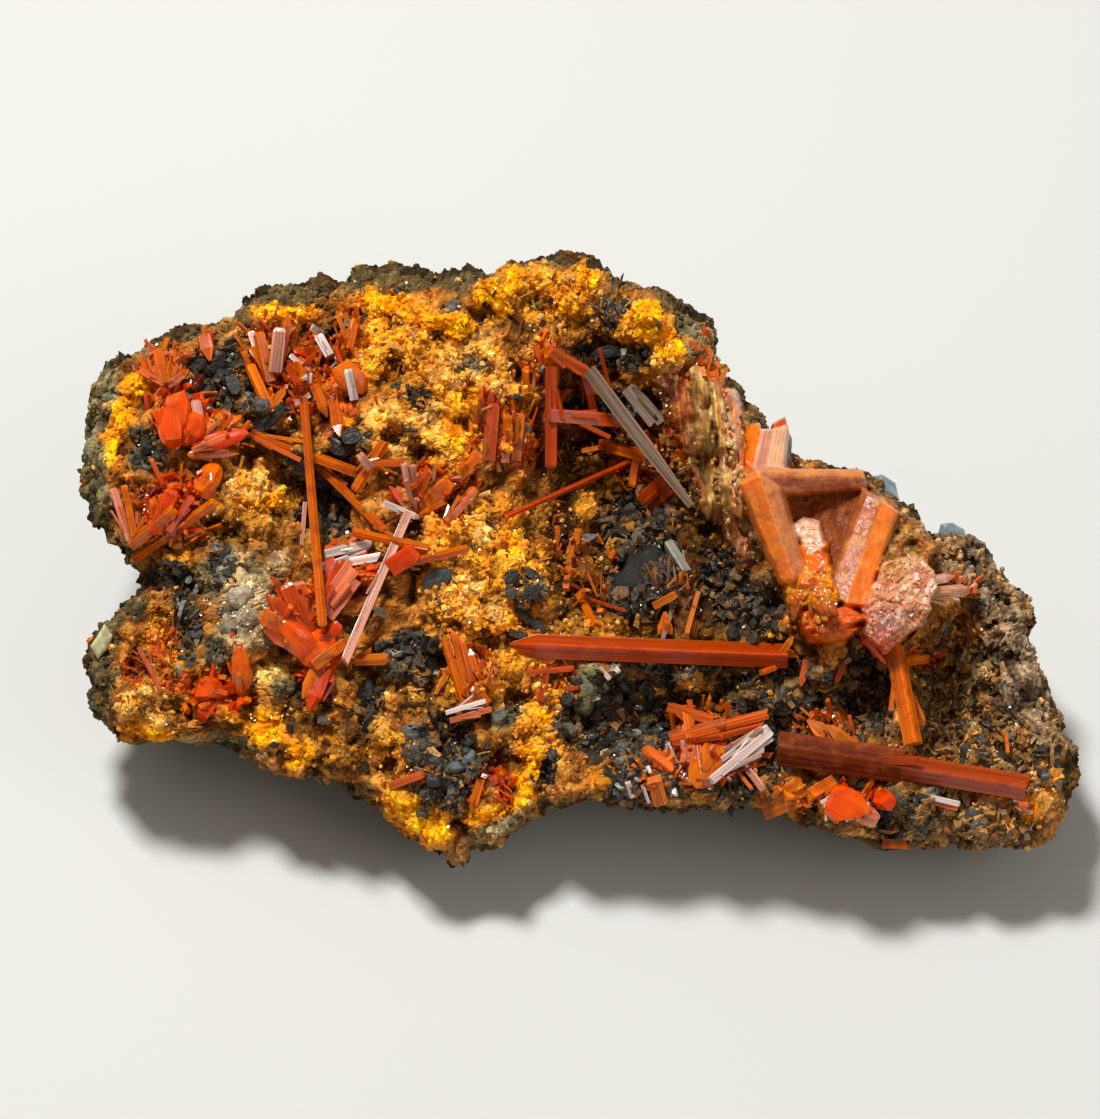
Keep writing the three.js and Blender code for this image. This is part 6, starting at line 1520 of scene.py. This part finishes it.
def addFlakesAndKnobs():
    rng = np.random.default_rng(31)
    for name, rows, shape in (("flakes", flakes, barShape(9)), ("knobs", knobs, ballShape(3))):
        a, d, wide, high, turn, _, shine = np.array(rows, float).T
        narrow = np.minimum(wide, high)
        isFlake = name == "flakes"
        thick, lift = (0.45 + 0 * wide, 0.25) if isFlake else (0.8 * narrow, -0.25 * narrow)
        side = np.cos(np.radians(turn))[:, None] * acrossDir + np.sin(np.radians(turn))[:, None] * upDir
        aims = around(np.tile(outDir, (len(rows), 1)), 24, rng)
        places = place(a, d, faceDepth(a, d) + lift)
        tint = np.array([linear(r[5]) for r in rows])
        sizes = np.stack([wide, high, thick], axis=1)
        if not isFlake:
            # the longer way of a knob follows its turn
            sizes = np.where((np.abs(turn) > 45)[:, None], sizes[:, [1, 0, 2]], sizes)
        made = crowd(shape, places, aims, sizes, tint, 0.16 if isFlake else 0.0, rng, side)
        if not isFlake:
            centres = np.repeat(places, len(shape[0]), axis=0)
            cell = 0.12 * (0.35 - cells(made["points"], 0.6, 93)[0] ** 2)
            rough = 1 + 0.42 * fractal(made["points"], 1.7, 91) + cell
            made["points"] = centres + (made["points"] - centres) * rough[:, None]
        made["tint"] = made["tint"] * (1 + 0.35 * fractal(made["points"], 0.7, 95, 3))[:, None]
        made["shine"] = np.repeat(shine, len(shape[0]))
        addPiece(name, made, [gossan], soft=not isFlake)


# Tufts of small crystals: middle, half widths, how many, least and most width and length in mm, the way
# they point in the viewed plane (degrees up from across), their spread in degrees, and their tints.
tufts = [
    (17.6, 41.6, 3.4, 3.4, 70, 0.4, 1.1, 0.8, 2.6, 60, 60, "red orange red orange red pinkish"),
    (22, 43.4, 2.4, 1.6, 36, 0.4, 0.9, 1, 2.8, 30, 40, "orange red orange pinkish"),
    (16.6, 51.4, 4.6, 3.8, 110, 0.3, 0.9, 0.8, 2.8, 60, 55, "orange red orange red deep pinkish"),
    (16, 36.4, 2.8, 1.8, 50, 0.3, 0.8, 0.8, 2, 90, 60, "orange salmon pinkish"),
    (20.4, 34.4, 0.9, 1.2, 14, 0.3, 0.8, 0.8, 1.6, 90, 60, "salmon deep"),
    (26.6, 34.8, 2.4, 3.6, 70, 0.3, 0.9, 0.8, 2.6, 95, 50, "orange orange pinkish deep"),
    (31.2, 37, 3.8, 4.6, 130, 0.3, 1.1, 0.8, 2.8, 80, 65, "orange deep red orange glint"),
    (34.8, 33.6, 1.8, 2.6, 30, 0.3, 0.8, 0.8, 2.4, 95, 40, "orange amber"),
    (29.4, 40.6, 3.6, 1.6, 40, 0.3, 0.8, 0.8, 2.2, 70, 70, "deep orange"),
    (42.6, 49, 2.8, 2.6, 60, 0.3, 0.9, 0.8, 2.6, 80, 60, "orange red orange deep red lilac"),
    (46.4, 49.8, 2.6, 3, 36, 0.3, 0.8, 0.8, 2.2, 45, 50, "orange amber creamLath"),
    (50, 43.2, 3, 4, 120, 0.3, 0.9, 1, 3.2, 92, 26, "deep orange amber deep ochreLath"),
    (54.4, 37.6, 2.4, 3.4, 60, 0.3, 0.9, 0.8, 2.4, 70, 50, "amber orange salmon"),
    (34.6, 56.6, 3, 2.6, 50, 0.3, 0.9, 0.8, 2.6, 30, 40, "red orange red deep pinkish"),
    (30.4, 61.8, 3.4, 3.4, 90, 0.4, 1.2, 0.8, 2.8, 110, 50, "deep red orange red salmon"),
    (32.4, 66, 2, 2.8, 44, 0.4, 1.1, 0.8, 2.6, 250, 60, "red orange red"),
    (21.6, 69.4, 3.6, 1.9, 50, 0.4, 1, 0.8, 2, 40, 80, "red orange salmon"),
    (24, 66.4, 1, 1.9, 20, 0.4, 1, 0.8, 2.2, 85, 50, "red orange"),
    (47.4, 67.4, 2.2, 4, 60, 0.3, 0.9, 1, 3, 110, 35, "orange amber orange pinkish"),
    (48.6, 78.6, 2.4, 2, 44, 0.3, 0.9, 0.8, 2.2, 30, 80, "red orange deep"),
    (41.2, 77.6, 1.8, 0.9, 16, 0.3, 0.8, 0.8, 2, 30, 60, "deep orange"),
    (70.6, 36.6, 1.9, 2.8, 50, 0.3, 0.9, 0.8, 2.6, 95, 40, "orange salmon amber"),
    (71.2, 44.8, 2.8, 5.2, 24, 0.4, 1.2, 1, 3.6, 88, 22, "brownLath ochreLath amber weathered"),
    (67.2, 43.6, 2, 3.2, 36, 0.4, 1.1, 1, 3, 80, 40, "deep amber brownLath"),
    (63.4, 46.8, 2.6, 2.6, 50, 0.3, 0.9, 0.8, 2.4, 60, 80, "deep orange red"),
    (58, 40.4, 3.4, 3.4, 50, 0.3, 0.9, 0.8, 2.4, 90, 80, "deep brownLath amber"),
    (58.6, 57, 3.4, 5, 60, 0.3, 0.8, 0.8, 2.6, 100, 60, "amber orange brownLath"),
    (67.6, 59.6, 2.4, 4.4, 40, 0.25, 0.6, 1, 3.4, 80, 40, "amber weathered brownLath"),
    (70.8, 75, 4.4, 3.6, 140, 0.3, 1, 0.8, 3, 50, 60, "orange salmon orange red pinkish glint"),
    (66.6, 77.4, 3, 2.4, 60, 0.3, 0.9, 0.8, 2, 60, 80, "salmon amber glint brownLath"),
    (69.6, 71.4, 3.4, 1.2, 30, 0.3, 0.8, 0.8, 2, 20, 60, "salmon orange"),
    (82.6, 73, 3, 1.8, 50, 0.3, 1, 0.8, 2.6, 140, 50, "amber orange salmon"),
    (84.2, 80, 3.4, 1.8, 70, 0.3, 1, 0.8, 2.4, 0, 80, "red orange red glint"),
    (78.4, 79.8, 2.6, 1.4, 40, 0.3, 1, 0.8, 2.2, 30, 80, "orange amber"),
    (89.8, 84, 1.6, 0.5, 10, 0.5, 1.1, 0.8, 1.6, 0, 60, "orange"),
    (101.6, 79.4, 1.2, 1.4, 20, 0.3, 0.8, 0.8, 1.8, 0, 80, "orange amber glint"),
    (92, 66, 2.6, 1, 24, 0.3, 0.9, 0.8, 2.2, 10, 60, "orange red salmon"),
    (96.2, 58.6, 1.6, 1.2, 24, 0.3, 0.9, 0.8, 2, 30, 60, "frosted salmon"),
    (55.6, 67.6, 2.6, 1.6, 24, 0.3, 0.7, 0.8, 2.2, 90, 70, "deep orange"),
    (96.6, 63.8, 2, 1.6, 24, 0.3, 0.8, 0.8, 1.8, 60, 80, "ochreLath brownLath"),
    (44, 38.6, 7.5, 7, 130, 0.15, 0.45, 0.6, 2, 90, 90, "ochreLath brownLath creamLath amber"),
    (47.6, 57.6, 6.5, 6.5, 90, 0.15, 0.45, 0.6, 2, 90, 90, "ochreLath brownLath creamLath amber"),
    (56, 30.6, 7.5, 3.4, 70, 0.15, 0.5, 0.6, 2.2, 90, 60, "ochreLath brownLath creamLath"),
    (15.8, 67, 4.6, 6, 110, 0.12, 0.35, 0.8, 2.6, 120, 70, "brownLath salmon ochreLath"),
    (26.6, 48.6, 4, 3, 40, 0.15, 0.4, 0.6, 1.8, 90, 90, "ochreLath amber brownLath"),
    (62, 49, 8, 9, 50, 0.15, 0.45, 0.6, 2.2, 90, 90, "brownLath amber deep ochreLath"),
    (76, 70.6, 13, 4.6, 34, 0.15, 0.4, 0.6, 2.2, 60, 90, "brownLath amber ochreLath weathered"),
    (95, 71, 6, 9, 40, 0.15, 0.4, 0.6, 2.2, 60, 90, "brownLath ochreLath amber"),
    (46, 72, 8, 6, 60, 0.15, 0.4, 0.6, 2, 90, 90, "ochreLath amber brownLath creamLath"),
]


def addTufts():
    rng = np.random.default_rng(23)
    parts = []
    for ca, cd, ra, rd, count, thin, thick, short, tall, way, spread, names in tufts:
        turn = rng.uniform(0, 2 * np.pi, count)
        reach = np.sqrt(rng.uniform(0, 1, count))
        a, d = ca + ra * reach * np.cos(turn), cd + rd * reach * np.sin(turn)
        inside = outward(a, d) < 0.965
        a, d, count = a[inside], d[inside], int(inside.sum())
        inPlane = math.cos(math.radians(way)) * acrossDir + math.sin(math.radians(way)) * upDir
        aims = around(np.tile(outDir * 0.55 + inPlane, (count, 1)), spread, rng)
        aims = unit(aims + outDir * np.maximum(0.1 - aims @ outDir, 0)[:, None])
        places = place(a, d, faceDepth(a, d) + rng.uniform(-0.3, 0.25, count))
        width = mixed(thin, thick, count, rng)
        sizes = [width, width * rng.uniform(0.4, 0.9, count), mixed(short, tall, count, rng)]
        colour, kind = (np.array(v) for v in zip(*(tints[name] for name in rng.choice(names.split(), count))))
        tint = colour * rng.uniform(0.7, 1.25, (count, 1))
        parts.append((places, aims, np.stack(sizes, axis=1), tint, kind))
    places, aims, sizes, tint, kind = (np.concatenate(v) for v in zip(*parts))
    made = crowd(barShape(4), places, aims, sizes, tint, 0.12, rng)
    made["material"] = np.repeat(kind, 12)
    addPiece("crocoiteTufts", made, crystalMaterials)


# Thin crystals and slivers, too small for the solids, in rows as those of the crystals.
thinRows = [
    (16.2, 48.6, 15.1, 45.9, 0.4, 1.4, 0.5, 0.4, 0, "blunt", "salmon"),
    (14, 64.8, 16.4, 69.2, 0.8, 0.9, 0.45, 0.4, 0, "blunt", "deep"),
    (69.8, 59.2, 68.6, 63.4, 0.5, 1.6, 0.5, 0.4, 0, "blunt", "amber"),
    (75.2, 75, 75.4, 78.2, 1.2, 0.9, 0.4, 0.4, 0, "blunt", "orange"),
    (73.8, 77.2, 75, 78.7, 1, 0.9, 0.4, 0.4, 0, "blunt", "orange"),
    (92.7, 79.5, 95.6, 80.2, 0.9, 1, 0.6, 0.4, 0, "blunt", "glint"),
    (92.9, 80, 95.4, 80.7, 0.7, 0.8, 0.5, 0.4, 0, "blunt", "salmon"),
    (88.3, 84.2, 90.6, 84.2, 1.4, 1.4, 1, 0.9, 0, "flat", "orange"),
    (39.2, 78.4, 42.4, 77.2, 0.6, 0.9, 0.8, 0.7, 0, "blunt", "salmon"),
    (62.7, 78, 63.2, 79.5, 0.8, 1, 0.6, 0.4, 0, "blunt", "glint"),
    (64.2, 78.4, 64.8, 80.1, 0.8, 1, 0.35, 0.4, 0, "blunt", "glint"),
    (30.1, 54.6, 30.3, 50.2, 0.6, 0.9, 0.45, 0.4, 0, "blunt", "lilac"),
    (59.9, 66.7, 61, 67.9, 0.5, 0.9, 0.5, 0.4, 0, "blunt", "glint"),
    (61.2, 66.4, 61.9, 67.2, 0.5, 0.9, 0.5, 0.4, 0, "blunt", "glint"),
    (59, 59.9, 62.6, 61.1, 0.7, 1.1, 0.35, 0.3, 0, "blunt", "deep"),
    (100.4, 73.3, 100.5, 75.2, 0.8, 1.1, 0.4, 0.4, 0, "blunt", "orange"),
    (76, 67.2, 77.8, 66.6, 1.8, 2, 0.6, 0.6, 0, "point", "orange"),
    (77.4, 66.4, 79.2, 63.6, 1.9, 2.4, 0.7, 0.6, 0, "point", "amber"),
    (78, 65, 79.6, 65.6, 2, 2.2, 0.9, 0.7, 0, "point", "orange"),
    (67.4, 60.4, 66.2, 64, 0.4, 1.4, 0.45, 0.4, 0, "blunt", "weathered"),
    (65.4, 60.6, 67.6, 59.4, 0.7, 1.2, 0.8, 0.5, 0, "blunt", "amber"),
    (60, 34.6, 61, 38.4, 0.8, 1.2, 0.4, 0.4, 0, "blunt", "deep"),
    (43.6, 69.4, 45.2, 66.2, 0.6, 1.4, 0.4, 0.4, 0, "point", "amber"),
    (80.6, 66, 80, 68.6, 0.8, 0.9, 0.7, 0.6, 0, "point", "salmon"),
    (84.6, 65.6, 83.4, 68.4, 1, 0.9, 0.6, 0.5, 0, "point", "deep"),
]


def addThinCrystals():
    rng = np.random.default_rng(41)
    made = joined([prism(*endsOf(row), *row[6:], rng) for row in thinRows])
    addPiece("thinCrystals", made, crystalMaterials)
    # honey-coloured drops that hang under the box, and a few pale ones on the wall
    honey, pale = 60, 70
    count = honey + pale
    a, d = rng.uniform(78.6, 83.4, honey), rng.uniform(59.4, 62.8, honey)
    size = rng.uniform(0.35, 1.0, honey)
    # three draws that are not used, kept so that those after them stay the same
    rng.uniform(1.0, 2.2, honey)
    rng.standard_normal((honey, 3))
    rng.uniform(0, 1, honey)
    colours = list(rng.choice([0xE87C18, 0xB85C14, 0xF09028, 0xD06010], honey))
    along = rng.uniform(0, 1, pale)
    a = np.append(a, 72.7 + 1.5 * along + rng.normal(0, 0.35, pale))
    d = np.append(d, 42.6 + 8.2 * along)
    size = np.append(size, rng.uniform(0.25, 0.7, pale))
    sizes = np.stack([size, size, size * rng.uniform(1.0, 2.2, count)], axis=1)
    colours += list(rng.choice([0xE0C088, 0xD8A070, 0xC09048, 0xE8B890], pale))
    aims = around(np.tile(outDir * 0.5 - upDir, (count, 1)), 40, rng)
    ground = faceDepth(a, d)
    top = np.maximum(np.where(a > 77, facetSkin(a, d)[0], ground + 2.3), ground + 1.0)
    drops = crowd(ballShape(2), place(a, d, top + rng.uniform(-0.5, 0.3, count)), aims, sizes,
                  np.array([linear(c) for c in colours]), 0.05, rng)
    addPiece("honeyDrops", drops, [crocoite["glassy"]], soft=True)


# The chips: material, outline, how far each lies off the rock, its thickness and its two colours.
chips = {
    "pale_chip": (waxyChip, [(10.4, 62.4), (11.4, 63.5), (10.8, 64.9), (9.8, 66), (9, 64.6), (9.7, 63.6)],
                  0.4, 1.0, (0xCCC48C, 0xA8A478)),
    "blue_chip_upper": (glassChip, [(86.9, 47.6), (88.6, 47.3), (90, 48.2), (90.4, 50), (88.6, 49.9)],
                        0.2, 1.6, (0x9CB0B4, 0x7A9096)),
    "blue_chip_lower": (glassChip, [(94.1, 53.4), (94.4, 52.3), (95.6, 52.2), (96.8, 52.9), (97, 53.6),
                                    (95, 54.6)], -0.2, 1.6, (0x8EA2A6, 0x6A8088)),
}


# Each is its outline, drawn in by a share at each level from the middle of its top to that of its foot.
def addChips():
    sides = 48
    shares = np.array([0.0, 0.3, 0.6, 0.84, 0.96, 1.0, 0.98, 0.9, 0.0])
    levels = np.array([0.98, 0.97, 0.94, 0.86, 0.66, 0.4, 0.12, 0.0, 0.0])
    for node, (material, outline, lift, thick, colours) in chips.items():
        corners = np.array(outline)
        centre = corners.mean(axis=0)
        along = np.linspace(0, len(corners), sides, endpoint=False)
        k = along.astype(int)
        ring = corners[k] + (corners[(k + 1) % len(corners)] - corners[k]) * (along - k)[:, None]
        flat = centre + (ring - centre) * shares[:, None, None]
        depth = faceDepth(*centre) + lift + thick * levels[:, None]
        points = place(flat[..., 0], flat[..., 1], depth).reshape(-1, 3)
        points = points + (0.07 * fractal(points, 0.8, 97, 3) * np.repeat(shares, sides))[:, None] * outDir
        faces = [gridQuads(np.arange(len(points)).reshape(-1, sides), ring=True)]
        tint = blend(*colours[::-1], smooth(-0.3, 0.3, fractal(points, 0.9, 99, 3)))
        made = {"points": points, "faces": faces, "tint": tint}
        addPiece(cameled(node), made, [material], [node], soft=True)


addGrains()
addFlakesAndKnobs()
addTufts()
addThinCrystals()
addSparkles()
addChips()
print("small pieces")


# Stage

def addStage():
    look = {"floor": 0xCACAC6, "sky": 0.26, "skyColour": 0xF6EEE2, "distance": 0.72, "halfFloor": 1.6}
    lights = {  # place, size and power
        "keyLight": (keyPlace, 0.13, 6.1),
        "fillLight": ((0.60, -0.34, 0.44), 0.6, 1.4),
    }
    floor = bpy.data.meshes.new("studioFloor")
    s = look["halfFloor"]
    floor.from_pydata([(-s, -s, 0), (s, -s, 0), (s, s, 0), (-s, s, 0)], [], [(0, 1, 2, 3)])
    piece = bpy.data.objects.new("studioFloor", floor)
    piece.location = (0, 0, -0.00005)
    bpy.context.scene.collection.objects.link(piece)
    material, tree, shader = newMaterial("paleCard", {
        "Base Color": (*linear(look["floor"]), 1), "Roughness": 0.9})
    floor.materials.append(material)
    world = bpy.data.worlds.new("studio")
    world.use_nodes = True
    sky = world.node_tree.nodes["Background"]
    sky.inputs["Color"].default_value = (*linear(look["skyColour"]), 1)
    sky.inputs["Strength"].default_value = look["sky"]
    bpy.context.scene.world = world
    for name, (at, size, power) in lights.items():
        light = bpy.data.lights.new(name, "AREA")
        light.size = size
        light.energy = power
        lamp = bpy.data.objects.new(name, light)
        lamp.location = at
        lamp.rotation_euler = (Vector((0, 0, 0.015)) - Vector(at)).to_track_quat("-Z", "Y").to_euler()
        bpy.context.scene.collection.objects.link(lamp)
    camera = bpy.data.cameras.new("camera")
    aim = Vector(place(viewed["size"][0] / 2, viewed["size"][1] / 2, 2.0) * mm)
    camera.sensor_fit = "VERTICAL"
    camera.sensor_height = 24
    camera.lens = 24 * look["distance"] / (viewed["size"][1] * mm)
    camera.clip_start = 0.01
    seen = bpy.data.objects.new("camera", camera)
    seen.location = aim + Vector(outDir) * look["distance"]
    seen.rotation_euler = (math.pi / 2 - viewed["tilt"], 0, 0)
    bpy.context.scene.collection.objects.link(seen)
    bpy.context.scene.camera = seen
    bpy.context.scene.view_settings.view_transform = "Standard"


addStage()
print("stage")
